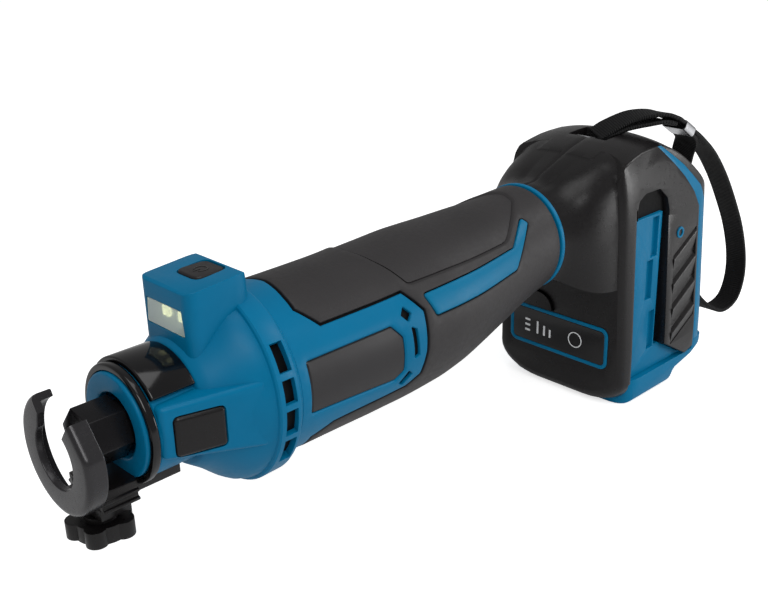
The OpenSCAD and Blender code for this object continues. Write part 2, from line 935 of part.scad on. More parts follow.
// The grip's round body: straight over the motor, then a cone that rises to the neck
module grip_solid(r, end_r) {
    along_x(grip_x) cylinder(h = taper_x - grip_x, r = r);
    translate([taper_x, 0, 0]) sphere(r = r);
    translate([taper_x, 0, 0]) rotate([0, 90 - taper_angle, 0])
        cylinder(h = taper_len, r1 = r, r2 = end_r);
}

// Keeps what lies between the front housing and the neck ring
module grip_span() {
    intersection() {
        children();
        block([grip_x, -reach / 2, -reach / 2], [neck_x - grip_x, reach, reach]);
    }
}

module side_panel(x, z, len, h, shares, side) {
    pts = outline(shares, x, z, len, h);
    if (side < 0) side_prism(pts, -2 * grip_r, -panel_from_y);
    else side_prism(pts, panel_from_y, 2 * grip_r);
}

module panel_zone(side) {
    side_panel(panel_x, panel_z, panel_len, panel_h, panel_shares, side);
    // The shell also shows as a blue collar in front of the overmould
    block([grip_x, -reach / 2, -reach / 2], [panel_x - grip_x + panel_len * panel_shares[1][0],
        reach, reach]);
}

module window_zone(side) {
    side_panel(window_x, window_z, window_len, window_h, window_shares, side);
}

module panel_slots(side) {
    for (s = panel_slot_shares) side_panel(panel_slot_x, panel_z, panel_slot_w, panel_h, s, side);
}

module handle_shell(side) {
    grip_span() intersection() {
        half_space(side);
        difference() {
            union() {
                grip_solid(shell_r, neck_shell_r);
                intersection() {
                    grip_solid(grip_r, neck_r);
                    panel_zone(side);
                }
            }
            difference() {
                grip_solid(shell_in_r, neck_in_r);
                // Bulkhead that carries the rear bearing
                tube_x(rear_bearing_x - 1, bulkhead_t, shell_r, bearing_r);
                // Rails that carry the control board
                for (s = [-1, 1])
                    block([board_x, s < 0 ? -reach : board_w / 2 - rail_w / 2, board_z - board_pitch],
                        [board_len, reach - board_w / 2 + rail_w / 2, board_pitch]);
            }
            difference() {
                window_zone(side);
                grip_solid(grip_r - window_deep, neck_r - window_deep);
            }
            difference() {
                panel_slots(side);
                grip_solid(grip_r - slot_deep, neck_r - slot_deep);
            }
            handle_screw_holes();
        }
    }
}

module handle_shell_left() {
    color("steelblue") handle_shell(near_side);
}

module handle_shell_right() {
    color("steelblue") handle_shell(far_side);
}

module trim_zone(side) {
    side_panel(trim_x, trim_z, trim_len, trim_h, trim_shares, side);
}

module grip_half(side) {
    grip_span() intersection() {
        half_space(side);
        difference() {
            grip_solid(grip_r, neck_r);
            grip_solid(shell_r, neck_shell_r);
            panel_zone(side);
            difference() {
                trim_zone(side);
                grip_solid(grip_r - trim_deep, neck_r - trim_deep);
            }
            handle_screw_holes();
        }
    }
}

module grip_left() {
    color("dimgray") grip_half(near_side);
}

module grip_right() {
    color("dimgray") grip_half(far_side);
}

module window_half(side) {
    intersection() {
        window_zone(side);
        tube_x(grip_x, taper_x - grip_x, grip_r + window_proud, grip_r - window_deep);
    }
}

module window_left() {
    color("black") window_half(near_side);
}

module window_right() {
    color("black") window_half(far_side);
}

module trim_half(side) {
    difference() {
        trim_zone(side);
        grip_solid(grip_r - trim_deep, neck_r - trim_deep);
        difference() {
            block([grip_x, -reach, -reach], [reach, 2 * reach, 2 * reach]);
            grip_solid(grip_r + trim_proud, neck_r + trim_proud);
        }
    }
}

module trim_left() {
    color("steelblue") trim_half(near_side);
}

module trim_right() {
    color("steelblue") trim_half(far_side);
}

module neck_ring() {
    color("steelblue") translate([0, 0, neck_rise])
        tube_x(neck_x, neck_ring_len, neck_r + neck_ring_proud, neck_in_r);
}

module handle_screw_places() {
    for (z = [-handle_screw_z, handle_screw_z])
        translate([handle_screw_x, shell_r * handle_screw_y_share, z]) rotate([90, 0, 0]) children();
}

module handle_screw_holes() {
    handle_screw_places() {
        translate([0, 0, -reach]) cylinder(h = reach, r = handle_screw_head_r);
        cylinder(h = 2 * shell_r * handle_screw_y_share, r = handle_screw_r);
    }
}

module handle_screws() {
    color("silver") handle_screw_places() {
        translate([0, 0, -handle_screw_head_h])
            cylinder(h = handle_screw_head_h, r = handle_screw_head_r);
        cylinder(h = 2 * shell_r * handle_screw_y_share, r = handle_screw_r);
    }
}

module control_board() {
    color("darkgreen") union() {
        block([board_x, -board_w / 2, board_z], [board_len, board_w, board_pitch]);
        for (i = [0:part_count - 1])
            block([board_x + (i + 0.5) * board_len / part_count - part_w / 2,
                -board_w / 4 - part_w / 2, board_z],
                [part_w, part_w, board_pitch + part_h]);
    }
}

module board_capacitor() {
    color("black") translate([0, board_w / 4, board_z + board_pitch + cap_r])
        along_x(board_x + board_len / 2 - cap_len / 2) cylinder(h = cap_len, r = cap_r);
}

// Rear block

// A flat slab with rounded corners, for the hull of the block
module slab(x_from, x_to, w, z) {
    translate([(x_from + x_to) / 2, 0, z]) linear_extrude(block_round / 4)
        rounded_square(x_to - x_from, w, block_round);
}

module block_solid() {
    hull() {
        slab(block_x + block_round, block_end_x, foot_flat_w, foot_edge_z);
        slab(block_x, block_end_x, block_foot_w, foot_wide_z);
        slab(block_x - crown_inset / 2, block_end_x, block_top_w, bend_z);
        slab(block_x, block_end_x, crest_w, crown_edge_z - block_round / 4);
        slab(block_x + crown_inset, block_end_x, crown_w, block_top_z - block_round / 4);
    }
}

module shoulder_solid(inset) {
    hull() {
        translate([0, 0, neck_rise]) along_x(shoulder_x) cylinder(h = block_round, r = neck_r - inset);
        for (side = [-1, 1], z = shoulder_mid_places)
            translate([0, side * (shoulder_mid_w / 2 - shoulder_mid_r), z])
                along_x(shoulder_mid_x)
                    cylinder(h = block_round, r = shoulder_mid_r - inset, $fn = corner_fn);
        for (side = [-1, 1], c = shoulder_corners)
            translate([0, side * (c[0] - block_round - inset), c[1] + c[2] * inset])
                along_x(block_x - crown_inset / 2)
                    cylinder(h = block_round, r = block_round, $fn = corner_fn);
    }
}

// What the shells leave to the rear band and the rear cover
module behind_shells() {
    side_prism([[band_top_x, band_top_z], [band_knee_x, band_knee_z], [band_front_x, band_turn_z],
        [band_front_x, -reach], [reach, -reach], [reach, reach], [cover_top_x, reach],
        [cover_top_x, band_top_z]], -reach / 2, reach / 2);
}

// The slot in each side, and the outline of what hangs below it
module arch_cuts() {
    rotate([90, 0, 0]) translate([0, 0, -reach / 2]) linear_extrude(reach) {
        translate([arch_x - arch_w / 2, -reach]) square([arch_w, reach + arch_spring_z]);
        polygon([[arch_x + arch_w / 2 - cut, leg_front_z], [arch_x + arch_w / 2, leg_front_z],
            [leg_point_x, leg_point_z], [band_front_x, leg_point_z + rib_w], [reach, leg_point_z + rib_w],
            [reach, -reach], [arch_x + arch_w / 2 - cut, -reach]]);
    }
}

// The blind arch over each slot
module arch_recess() {
    points = outline(recess_shares, arch_x - arch_w / 2, arch_spring_z, arch_w, recess_h);
    side_prism(points, recess_y, reach / 2);
    side_prism(points, -reach / 2, -recess_y);
}

// Room for the base of the battery pack
module base_room() {
    block([bay_x, -reach, -reach], [reach, 2 * reach, reach + pack_foot_z + slip]);
}

module bay() {
    block([bay_x, -bay_w / 2, -reach], [reach, bay_w, reach + bay_top_z]);
}

module latch_room() {
    block([block_x + shell_wall, tab_y - latch_arm_w / 2 - latch_ear_t - clear, tab_low_z - latch_arm_h],
        [bay_x - block_x, latch_arm_w + 2 * (latch_ear_t + clear), latch_arm_h + tab_r + slip]);
}

module tab_shape(r) {
    translate([tab_y, tab_low_z]) circle(r = r);
}

// Extrudes an outline of [y, z] points along X
module front_prism(x, len) {
    translate([x, 0, 0]) rotate([90, 0, 90]) linear_extrude(len) children();
}

module tab_outline(r) {
    intersection() {
        tab_shape(r);
        translate([tab_y - 2 * r, tab_low_z]) square([4 * r, 2 * r]);
    }
}

module rear_shell(side) {
    intersection() {
        half_space(side);
        difference() {
            union() {
                block_solid();
                shoulder_solid(0);
            }
            behind_shells();
            arch_cuts_outside();
            arch_recess();
            base_room();
            bay();
            shoulder_solid(shell_wall);
            block([shoulder_x - cut, -neck_in_r / 2, neck_rise - neck_in_r / 2],
                [bay_x, neck_in_r, neck_in_r]);
            latch_room();
            front_prism(block_x - block_round, reach / 10) tab_outline(tab_r + tab_gap);
            latch_pivot() cylinder(h = latch_pin_len, r = latch_pin_r, center = true);
            charge_pocket();
            anchor_pocket();
            boss_holes();
        }
    }
}

// The arch is cut only outside the bay, so that the front wall stays whole
module arch_cuts_outside() {
    difference() {
        arch_cuts();
        block([-reach, -reach, -reach], [reach + block_x + shell_wall, 2 * reach, 2 * reach]);
    }
}

module rear_shell_left() {
    color("dimgray") rear_shell(near_side);
}

module rear_shell_right() {
    color("dimgray") rear_shell(far_side);
}

module at_boss(side) {
    translate([boss_x, side * boss_foot_y, boss_z]) rotate([-90 * side, 0, 0]) children();
}

module boss_holes() {
    for (side = [-1, 1])
        at_boss(side) cylinder(h = reach, r = boss_r);
}

// Half-width of the block's flank at a height z
function flank_y(z) = let (share = (bend_z - z) / (bend_z - foot_wide_z))
    block_top_w / 2 + (block_foot_w - block_top_w) / 2 * share;

module boss_rings() {
    color("steelblue") for (side = [-1, 1])
        at_boss(side) difference() {
            cylinder(h = flank_y(boss_z) - boss_foot_y + boss_proud, r = boss_r);
            translate([0, 0, -cut]) cylinder(h = reach, r = boss_hole_r);
        }
}

module boss_screws() {
    color("silver") for (side = [-1, 1])
        at_boss(side) cylinder(h = screw_len, r = boss_hole_r);
}

// Ribbed pads on the rear legs of the shells: slanted bars that follow the flank
module side_grips() {
    color("black") intersection() {
        union() {
            for (i = [0:rib_count - 1], side = [-1, 1]) {
                z = grip_pad_z + i * rib_pitch;
                pts = [[grip_pad_x, z], [grip_pad_x + grip_pad_len, z + rib_rise],
                    [grip_pad_x + grip_pad_len, z + rib_rise + rib_w], [grip_pad_x, z + rib_w]];
                if (side < 0) side_prism(pts, -reach / 2, -bay_w / 2 - shell_wall / 2);
                else side_prism(pts, bay_w / 2 + shell_wall / 2, reach / 2);
            }
        }
        difference() {
            grown_block(rib_proud);
            block_solid();
        }
    }
}

// The block, wider by a margin on each flank
module grown_block(margin) {
    for (side = [-1, 1]) translate([0, side * margin, 0]) block_solid();
}

module rear_band() {
    color("steelblue") intersection() {
        block_solid();
        side_prism([[band_top_x, band_top_z], [band_knee_x, band_knee_z], [band_front_x, band_turn_z],
            [band_front_x, band_low_z], [block_rear_x, band_low_z],
            [block_rear_x, band_turn_z + band_turn_rise],
            [band_knee_x + rear_band_len, band_knee_z + rear_band_len / 2],
            [band_top_x + band_top_share * rear_band_len, band_top_z]],
            -reach / 2, reach / 2);
    }
}

module rear_cover_outline(inset) {
    polygon([[band_top_x + band_top_share * rear_band_len + 2 * inset, band_top_z - inset],
        [band_knee_x + rear_band_len + inset, band_knee_z + rear_band_len / 2],
        [block_rear_x, band_turn_z + band_turn_rise], [block_rear_x, band_low_z + inset],
        [block_end_x - inset, band_low_z + inset], [block_end_x - inset, band_turn_z],
        [cover_knee_x - inset, cover_knee_z],
        [cover_top_x + cover_round - inset, cover_knee_z + cover_round - inset],
        [cover_top_x, block_top_z - inset], [cover_top_x, band_top_z - inset]]);
}

module rear_cover() {
    color("black") difference() {
        intersection() {
            block_solid();
            rotate([90, 0, 0]) translate([0, 0, -reach / 2]) linear_extrude(reach) rear_cover_outline(0);
            translate([block_end_x - block_len, 0, -reach / 2]) linear_extrude(reach)
                rounded_square(2 * block_len, block_foot_w, cover_round / 2);
        }
        rotate([90, 0, 0]) translate([0, 0, -bay_w / 2]) linear_extrude(bay_w)
            rear_cover_outline(cover_wall);
    }
}

module charge_outline(margin) {
    translate([0, charge_z])
        rounded_square(charge_w + 2 * margin, charge_h + 2 * margin, charge_round + margin);
}

module charge_pocket() {
    front_prism(block_x - reach / 10, reach / 10 + charge_t) charge_outline(charge_rim);
}

module charge_bezel() {
    color("steelblue") front_prism(block_x - charge_t / 3, charge_t + charge_t / 3) difference() {
        charge_outline(charge_rim);
        charge_outline(0);
    }
}

module charge_panel() {
    color("black") front_prism(block_x - charge_t / 6, charge_t + charge_t / 6) charge_outline(0);
}

// Pivot of the latch, a rocker with its round-topped tab above the pin and its nose below
module latch_pivot() {
    translate([latch_x + latch_arm_t / 2, tab_y, tab_low_z - latch_pin_r]) rotate([90, 0, 0]) children();
}

module latch_tab() {
    tab_x = block_x - 2 * tab_proud;
    arm_low_z = tab_low_z - latch_arm_h / 2;
    color("dimgray") difference() {
        union() {
            front_prism(tab_x, latch_x + latch_arm_t / 3 - tab_x) tab_outline(tab_r);
            block([latch_x, tab_y - latch_arm_w / 2, arm_low_z],
                [latch_arm_t, latch_arm_w, latch_arm_h / 2 + latch_arm_t]);
            block([latch_x, tab_y - latch_arm_w / 2, arm_low_z],
                [latch_arm_t + latch_nose, latch_arm_w, latch_nose_h]);
        }
        latch_pivot() cylinder(h = reach, r = latch_pin_r + run_fit, center = true);
    }
}

module latch_pin() {
    color("silver") latch_pivot() cylinder(h = latch_pin_len, r = latch_pin_r, center = true);
}

module terminal_block() {
    color("black") difference() {
        block([terminal_x, -terminal_w / 2, bay_top_z - terminal_h],
            [terminal_len, terminal_w, terminal_h]);
        blade_slots(0);
    }
}

module blade_slots(gap) {
    low_x = terminal_x + (terminal_len - blade_w) / 2;
    low_z = bay_top_z - terminal_h - blade_len;
    for (y = blade_places)
        block([low_x - gap, y - blade_t / 2 - gap, low_z],
            [blade_w + 2 * gap, blade_t + 2 * gap, blade_len + terminal_h]);
}

module terminal_blades() {
    color("goldenrod") blade_slots(0);
}

// Battery pack

module pack_outline(inset) {
    polygon([[pack_x + inset, pack_foot_z + inset], [pack_x + inset, pack_top_z - inset],
        [pack_slope_x - inset / 2, pack_top_z - inset], [pack_knee_x - inset / 2, pack_knee_z - inset],
        [pack_end_x - inset, pack_end_z - inset / 2], [pack_end_x - inset, pack_foot_z + inset]]);
}

module pack_prism(inset) {
    w = pack_w - 2 * inset;
    rotate([90, 0, 0]) translate([0, 0, -w / 2]) linear_extrude(w) pack_outline(inset);
}

module rail_outline() {
    low_x = arch_x - arch_w / 2 + slip;
    polygon([[low_x, rail_top_z], [low_x + rail_len, rail_top_z], [low_x + rail_len, leg_front_z - slip],
        [arch_x + arch_w / 2, leg_front_z - slip], [leg_point_x, leg_point_z - slip],
        [pack_end_x, leg_point_z + rib_w - slip], [pack_end_x, pack_foot_z], [low_x, pack_foot_z]]);
}

module case_rails() {
    rotate([90, 0, 0]) translate([0, 0, -rail_side_y]) linear_extrude(2 * rail_side_y) rail_outline();
}

module rail_slots() {
    for (p = rail_slot_places, side = [-1, 1])
        block([p[0] - rail_slot_w / 2, side < 0 ? -reach : rail_side_y - rail_slot_deep, p[1]],
            [rail_slot_w, reach - rail_side_y + rail_slot_deep, rail_slot_h]);
}

module terminal_room() {
    block([terminal_x - 2 * slip, -terminal_w / 2 - 2 * slip, bay_top_z - terminal_h - 2 * slip],
        [terminal_len + 4 * slip, terminal_w + 4 * slip, reach]);
}

module battery_case() {
    color("steelblue") difference() {
        union() {
            pack_prism(0);
            case_rails();
        }
        pack_prism(pack_wall);
        rail_slots();
        terminal_room();
        blade_slots(clear);
    }
}

module battery_base() {
    color("steelblue") intersection() {
        side_prism([[pack_x, pack_foot_z], [base_tail_x, pack_foot_z], [base_tail_x, base_tail_z],
            [block_end_x, base_tail_z], [band_front_x, base_tail_low_z],
            [base_heel_x + base_heel_run, base_step_z], [base_heel_x, base_z], [pack_x, base_z]],
            -reach / 2, reach / 2);
        translate([(pack_x + block_end_x) / 2, 0, -reach / 2]) linear_extrude(reach)
            rounded_square(block_end_x - pack_x, block_foot_w - block_round, base_round);
        base_sides();
    }
}

// Flanks of the base, which turn in to its flat foot
module base_sides() {
    half_w = block_foot_w / 2;
    front_prism(pack_x - cut, reach)
        polygon([[-half_w, base_tail_z + cut], [-half_w, foot_wide_z], [-foot_flat_w / 2, base_z],
            [foot_flat_w / 2, base_z], [half_w, foot_wide_z], [half_w, base_tail_z + cut]]);
}

// Places of the cells: two rows of two
module at_cells() {
    front_x = pack_x + pack_wall + cell_r + cell_gap;
    for (row = [0, 1], side = [-1, 1])
        translate([front_x + row * cell_pitch, side * cell_pitch / 2, 0]) children();
}

module battery_cells() {
    color("seagreen") at_cells() translate([0, 0, cell_foot_z]) cylinder(h = cell_len, r = cell_r);
}

module cell_holder() {
    gap = pack_wall + slip;
    low = cell_foot_z + cell_len - 2 * holder_t;
    color("black") difference() {
        block([pack_x + gap, -pack_w / 2 + gap, low],
            [2 * cell_pitch - holder_t, pack_w - 2 * gap, holder_t]);
        at_cells() translate([0, 0, -reach]) cylinder(h = 2 * reach, r = cell_r);
    }
}

module battery_board() {
    top = cell_foot_z + cell_len;
    color("darkgreen") union() {
        block([terminal_x - board_lift, -terminal_w / 2, top],
            [terminal_len + 2 * board_lift, terminal_w, board_pitch]);
        for (y = blade_places, side = [-1, 1])
            block([terminal_x + (terminal_len - clip_w) / 2, y + side * clip_gap - board_t / 2, top],
                [clip_w, board_t, board_pitch + clip_h]);
    }
}

// Depth guide

module depth_bracket() {
    color("black") difference() {
        union() {
            block([bracket_x, -bracket_w / 2, plate_low_z],
                [bracket_len, bracket_w, bracket_top_z - plate_low_z]);
            block([bracket_x, -clamp_block_w / 2, bracket_low_z],
                [bracket_len - clamp_block_gap, clamp_block_w, bracket_top_z - bracket_low_z]);
            block([-slip, -tail_w / 2, tail_low_z],
                [tail_len + slip, tail_w, bracket_top_z - tail_low_z]);
            for (z = ridge_places)
                block([bracket_x, -bracket_w / 2 - ridge_h, z - ridge_w / 2],
                    [bracket_len, bracket_w + 2 * ridge_h, ridge_w]);
        }
        block([bracket_x - cut, -bar_w / 2 - bar_slip, bar_low_z - bar_slip],
            [reach, bar_w + 2 * bar_slip, bar_t + 2 * bar_slip]);
        translate([stud_x, 0, bracket_low_z - cut])
            cylinder(h = bar_low_z - bracket_low_z + cut, r = stud_r + run_fit);
    }
}

module depth_foot() {
    color("dimgray") difference() {
        union() {
            translate([0, 0, foot_center_z])
                turned([[foot_x - foot_t, foot_hole_r], [foot_x - foot_t, foot_r - foot_bevel],
                    [foot_x - foot_t + foot_bevel, foot_r], [foot_x, foot_r], [foot_x, foot_hole_r]]);
            block([foot_x - foot_t / 2, -bar_w / 2, bar_low_z],
                [bar_end_x - foot_x + foot_t / 2, bar_w, bar_t]);
        }
        translate([0, 0, foot_center_z])
            wedge_x(-reach, reach, 90 - foot_gap_near, 90 + foot_gap_far, reach / 4);
    }
}

module clamp_knob() {
    color("black") translate([stud_x, 0, 0]) union() {
        translate([0, 0, knob_top_z - knob_h]) linear_extrude(knob_h) {
            circle(r = knob_core_r);
            for (i = [0:knob_lobes - 1])
                rotate(360 * i / knob_lobes + knob_turn) translate([knob_r - lobe_r, 0])
                    circle(r = lobe_r);
        }
        translate([0, 0, knob_top_z - knob_h / 2])
            cylinder(h = bracket_low_z - slip - knob_top_z + knob_h / 2, r = hub_r);
        translate([0, 0, knob_top_z]) cylinder(h = bar_low_z - slip - knob_top_z, r = stud_r);
    }
}

// Wrist strap

function route_way(i) = let (last = len(strap_route) - 1)
    let (d = strap_route[min(i + 1, last)] - strap_route[max(i - 1, 0)]) d / norm(d);

// Flattened section of the webbing, square to its way; its width runs across the tool
function strap_ring(i) = let (t = route_way(i))
    let (n = cross(t, [0, 1, 0]))
    let (up = n / norm(n))
    let (across = cross(up, t))
    [for (j = [0:strap_sides - 1])
        let (a = 360 * (j + 0.5) / strap_sides)
        let (w = abs(cos(a)) > strap_edge_share ? sign(cos(a)) : sign(cos(a)) * (1 - strap_t / strap_w))
        let (h = abs(sin(a)) > strap_edge_share ? sign(sin(a)) : sign(sin(a)) / 2)
        strap_route[i] + across * (w * strap_w / 2) + up * (h * strap_t / 2)];

module wrist_strap() {
    points = [for (i = [0:len(strap_route) - 1]) each strap_ring(i)];
    color("black") polyhedron(points, swept_faces(len(strap_route) - 1, strap_sides));
}

module anchor_pocket() {
    block([bar_pin_x - anchor_len / 2, -anchor_w / 2, block_top_z - anchor_deep],
        [anchor_len, anchor_w, reach]);
    anchor_bar();
}

module anchor_bar() {
    translate([bar_pin_x, bar_pin_len / 2, bar_pin_z]) rotate([90, 0, 0])
        cylinder(h = bar_pin_len, r = bar_pin_r);
}

module strap_hardware() {
    color("silver") anchor_bar();
    color("silver") translate([ferrule_x, ferrule_y, ferrule_z]) rotate([0, ferrule_angle, 0])
        difference() {
        cube([ferrule_len, ferrule_w, ferrule_t], center = true);
        cube([ferrule_len + 2 * cut, ferrule_w - 2 * ferrule_wall, ferrule_t - 2 * ferrule_wall],
            center = true);
    }
}

nose_ring();
nose_bead_ring();
nose_collar();
front_housing();
led_lens();
led_board();
power_button();
power_spring();
power_switch();
lock_button();
lock_pin();
lock_spring();
spindle();
collet();
collet_nut();
lock_collar();
cooling_fan();
rotor_core();
rotor_magnets();
bearing_inner_rings();
bearing_balls_set();
bearing_outer_rings();
stator_core();
stator_windings();
hall_board();
control_board();
board_capacitor();
handle_shell_left();
handle_shell_right();
grip_left();
grip_right();
window_left();
window_right();
trim_left();
trim_right();
neck_ring();
handle_screws();
rear_shell_left();
rear_shell_right();
side_grips();
boss_rings();
boss_screws();
rear_band();
rear_cover();
charge_bezel();
charge_panel();
latch_tab();
latch_pin();
terminal_block();
terminal_blades();
battery_case();
battery_base();
battery_cells();
cell_holder();
battery_board();
depth_bracket();
depth_foot();
clamp_knob();
wrist_strap();
strap_hardware();
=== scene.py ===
"""Looks of a cordless drywall cut-out tool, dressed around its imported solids.

Lengths are millimetres in the part's own frame: the spindle runs along X from the nose to the rear,
Z is up, and the flank with the spindle lock button is on -Y.
"""

import json
import logging
import math
from dataclasses import dataclass
from enum import Enum
from typing import Iterable, Sequence

import bmesh
import bpy
import numpy as np
from mathutils import Matrix, Vector
from mathutils.geometry import delaunay_2d_cdt

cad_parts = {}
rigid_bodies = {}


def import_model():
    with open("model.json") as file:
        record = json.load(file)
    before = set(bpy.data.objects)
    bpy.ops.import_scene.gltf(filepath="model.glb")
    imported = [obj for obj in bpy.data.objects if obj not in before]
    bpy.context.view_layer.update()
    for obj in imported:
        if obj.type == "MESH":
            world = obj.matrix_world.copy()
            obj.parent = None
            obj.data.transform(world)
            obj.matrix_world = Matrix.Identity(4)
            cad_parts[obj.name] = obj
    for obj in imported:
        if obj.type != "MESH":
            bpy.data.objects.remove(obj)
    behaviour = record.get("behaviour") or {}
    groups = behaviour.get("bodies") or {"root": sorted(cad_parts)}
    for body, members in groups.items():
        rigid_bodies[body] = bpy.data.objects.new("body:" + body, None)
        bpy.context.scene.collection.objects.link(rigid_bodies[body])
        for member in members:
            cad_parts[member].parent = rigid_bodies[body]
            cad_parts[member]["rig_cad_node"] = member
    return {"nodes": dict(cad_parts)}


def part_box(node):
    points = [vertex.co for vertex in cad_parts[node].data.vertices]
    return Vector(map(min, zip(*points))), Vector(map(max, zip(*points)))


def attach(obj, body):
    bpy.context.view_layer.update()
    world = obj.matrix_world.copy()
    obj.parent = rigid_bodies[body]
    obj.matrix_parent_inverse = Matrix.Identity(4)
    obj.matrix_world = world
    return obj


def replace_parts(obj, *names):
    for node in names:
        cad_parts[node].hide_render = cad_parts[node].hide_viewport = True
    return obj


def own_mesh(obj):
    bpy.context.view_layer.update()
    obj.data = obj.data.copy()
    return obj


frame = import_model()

MM = 0.001
WELD = 0.004
TINY = 1e-12
WIDE = 60.0
TOOL = "tool"
LOG = logging.getLogger("cut_out_tool")
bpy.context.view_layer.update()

Thing = bpy.types.Object
Socket = bpy.types.NodeSocket
Point2 = tuple[float, float]
Point3 = tuple[float, float, float]
Points2 = tuple[Point2, ...]
Points3 = tuple[Point3, ...]
Outline = Sequence[Point2]
Loop2 = list[Point2]
Radius = float | Sequence[float]


class Side(Enum):
    """The two flanks of the tool, by the sign of Y."""

    NEAR = -1.0
    FAR = 1.0

    def span(self, low: float, high: float) -> Point2:
        """The Y range between two distances out on this flank."""
        return tuple(sorted((low * self.value, high * self.value)))


class Cut(Enum):
    """How one mesh is combined with another."""

    REMOVE = "DIFFERENCE"
    KEEP = "INTERSECT"
    JOIN = "UNION"


class Axis(Enum):
    """An axis of the frame, by its place in a point."""

    X = 0
    Y = 1
    Z = 2


def linear(*screen: int) -> Point3:
    """Turn a screen colour, red, green and blue from 0 to 255, into linear light."""
    shares = [value / 255.0 for value in screen]
    return tuple(s / 12.92 if s <= 0.04045 else ((s + 0.055) / 1.055) ** 2.4 for s in shares)


def scaled(colour: Point3, share: float) -> tuple[float, ...]:
    """A colour with each channel times a share, and an alpha of 1."""
    return (*(channel * share for channel in colour), 1.0)


@dataclass(frozen=True)
class Profile:
    """A smooth value along the tool, through knots of (place, value)."""

    knots: Points2

    def at(self, place: float) -> float:
        """Value at a place, held level past both ends.

        Args:
            place: Where along the tool.

        Returns:
            The value there.
        """
        xs, vs = zip(*self.knots)
        if place <= xs[0]:
            return vs[0]
        if place >= xs[-1]:
            return vs[-1]
        rises = [(vs[i + 1] - vs[i]) / (xs[i + 1] - xs[i]) for i in range(len(xs) - 1)]
        slopes = [rises[0]]
        for before, after in zip(rises, rises[1:]):
            slopes.append(0.0 if before * after <= 0 else 2 * before * after / (before + after))
        slopes.append(rises[-1])
        i = next(n for n in range(len(xs) - 1) if place <= xs[n + 1])
        span = xs[i + 1] - xs[i]
        t = (place - xs[i]) / span
        h00, h10 = 2 * t**3 - 3 * t**2 + 1, t**3 - 2 * t**2 + t
        h01, h11 = -2 * t**3 + 3 * t**2, t**3 - t**2
        return h00 * vs[i] + h10 * span * slopes[i] + h01 * vs[i + 1] + h11 * span * slopes[i + 1]


LEVEL = Profile(((0.0, 1.0), (1.0, 1.0)))


# Flat outlines


def pairs(points: Sequence) -> Iterable[tuple]:
    """Each point of a closed outline with the next one."""
    return zip(points, [*points[1:], points[0]])


def round_angles(count: int) -> np.ndarray:
    """Evenly spaced angles once round, in radians."""
    return np.linspace(0, 2 * math.pi, count + 1)[:-1]


def turned_left(points: Outline) -> Loop2:
    """A closed outline in anticlockwise order."""
    area = sum(a[0] * b[1] - b[0] * a[1] for a, b in pairs(points))
    return list(points) if area > 0 else list(reversed(points))


def filleted(points: Outline, radius: Radius, steps: int = 5) -> Loop2:
    """Round the corners of a closed outline.

    Args:
        points: The outline's corners.
        radius: Radius of every corner, or one for each.
        steps: Points along each rounded corner.

    Returns:
        The rounded outline.
    """
    straight, most = math.radians(178), 0.45
    radii = [radius] * len(points) if isinstance(radius, (int, float)) else radius
    result: Loop2 = []
    for i, corner in enumerate(points):
        here = Vector(corner)
        back, on = Vector(points[i - 1]) - here, Vector(points[(i + 1) % len(points)]) - here
        angle = back.angle(on)
        if radii[i] <= 0 or angle > straight:
            result.append((here.x, here.y))
            continue
        reach = min(radii[i] / math.tan(angle / 2), most * back.length, most * on.length)
        start, end = here + back.normalized() * reach, here + on.normalized() * reach
        for k in range(steps + 1):
            t = k / steps
            result.append(tuple(start * (1 - t) ** 2 + here * (2 * t * (1 - t)) + end * t**2))
    return result


def oblong(low: Point2, high: Point2, radius: Radius = 0.0, steps: int = 5) -> Loop2:
    """A rectangle between two corners, with its corners rounded as filleted does."""
    corners = [low, (high[0], low[1]), high, (low[0], high[1])]
    return filleted(corners, radius, steps) if radius else corners


def resampled(points: Outline, step: float) -> Loop2:
    """Add points along a closed outline.

    Args:
        points: The outline.
        step: Longest edge of the result.

    Returns:
        The finer outline.
    """
    shortest = 1e-6
    result: Loop2 = []
    for a, b in pairs(points):
        length = math.dist(a, b)
        if length >= shortest:
            parts = max(1, math.ceil(length / step))
            for k in range(parts):
                result.append((a[0] + (b[0] - a[0]) * k / parts, a[1] + (b[1] - a[1]) * k / parts))
    return result


def moved_in(points: Outline, depth: float) -> Loop2:
    """Move every point of a closed outline to its left, mitred at corners.

    Args:
        points: The outline.
        depth: How far to move.

    Returns:
        The moved outline, point for point.
    """
    if not depth:
        return list(points)
    least = 0.35
    result: Loop2 = []
    for i in range(len(points)):
        a, b, c = (Vector(points[j % len(points)]) for j in (i - 1, i, i + 1))
        first, second = (b - a).normalized(), (c - b).normalized()
        n1, n2 = Vector((-first.y, first.x)), Vector((-second.y, second.x))
        result.append(tuple(b + (n1 + n2) * (depth / max(least, 1 + n1.dot(n2)))))
    return result


def inside(points: np.ndarray, outline: Outline) -> np.ndarray:
    """Tell which points lie inside a closed outline.

    Args:
        points: Array of (n, 2) places.
        outline: The outline.

    Returns:
        One truth value for each point.
    """
    hits = np.zeros(len(points), bool)
    for (x1, y1), (x2, y2) in pairs(outline):
        if y1 != y2:
            crosses = (y1 > points[:, 1]) != (y2 > points[:, 1])
            hits ^= crosses & (points[:, 0] < (x2 - x1) * (points[:, 1] - y1) / (y2 - y1) + x1)
    return hits


def far_from(points: np.ndarray, outline: Outline, gap: float) -> np.ndarray:
    """Tell which points keep a distance from a closed outline.

    Args:
        points: Array of (n, 2) places.
        outline: The outline.
        gap: Least distance.

    Returns:
        One truth value for each point.
    """
    far = np.ones(len(points), bool)
    for a, b in pairs(np.array(outline)):
        way = b - a
        t = np.clip(((points - a) @ way) / max(float(way @ way), TINY), 0, 1)
        far &= np.linalg.norm(points - (a + t[:, None] * way), axis=1) > gap
    return far


# Meshes


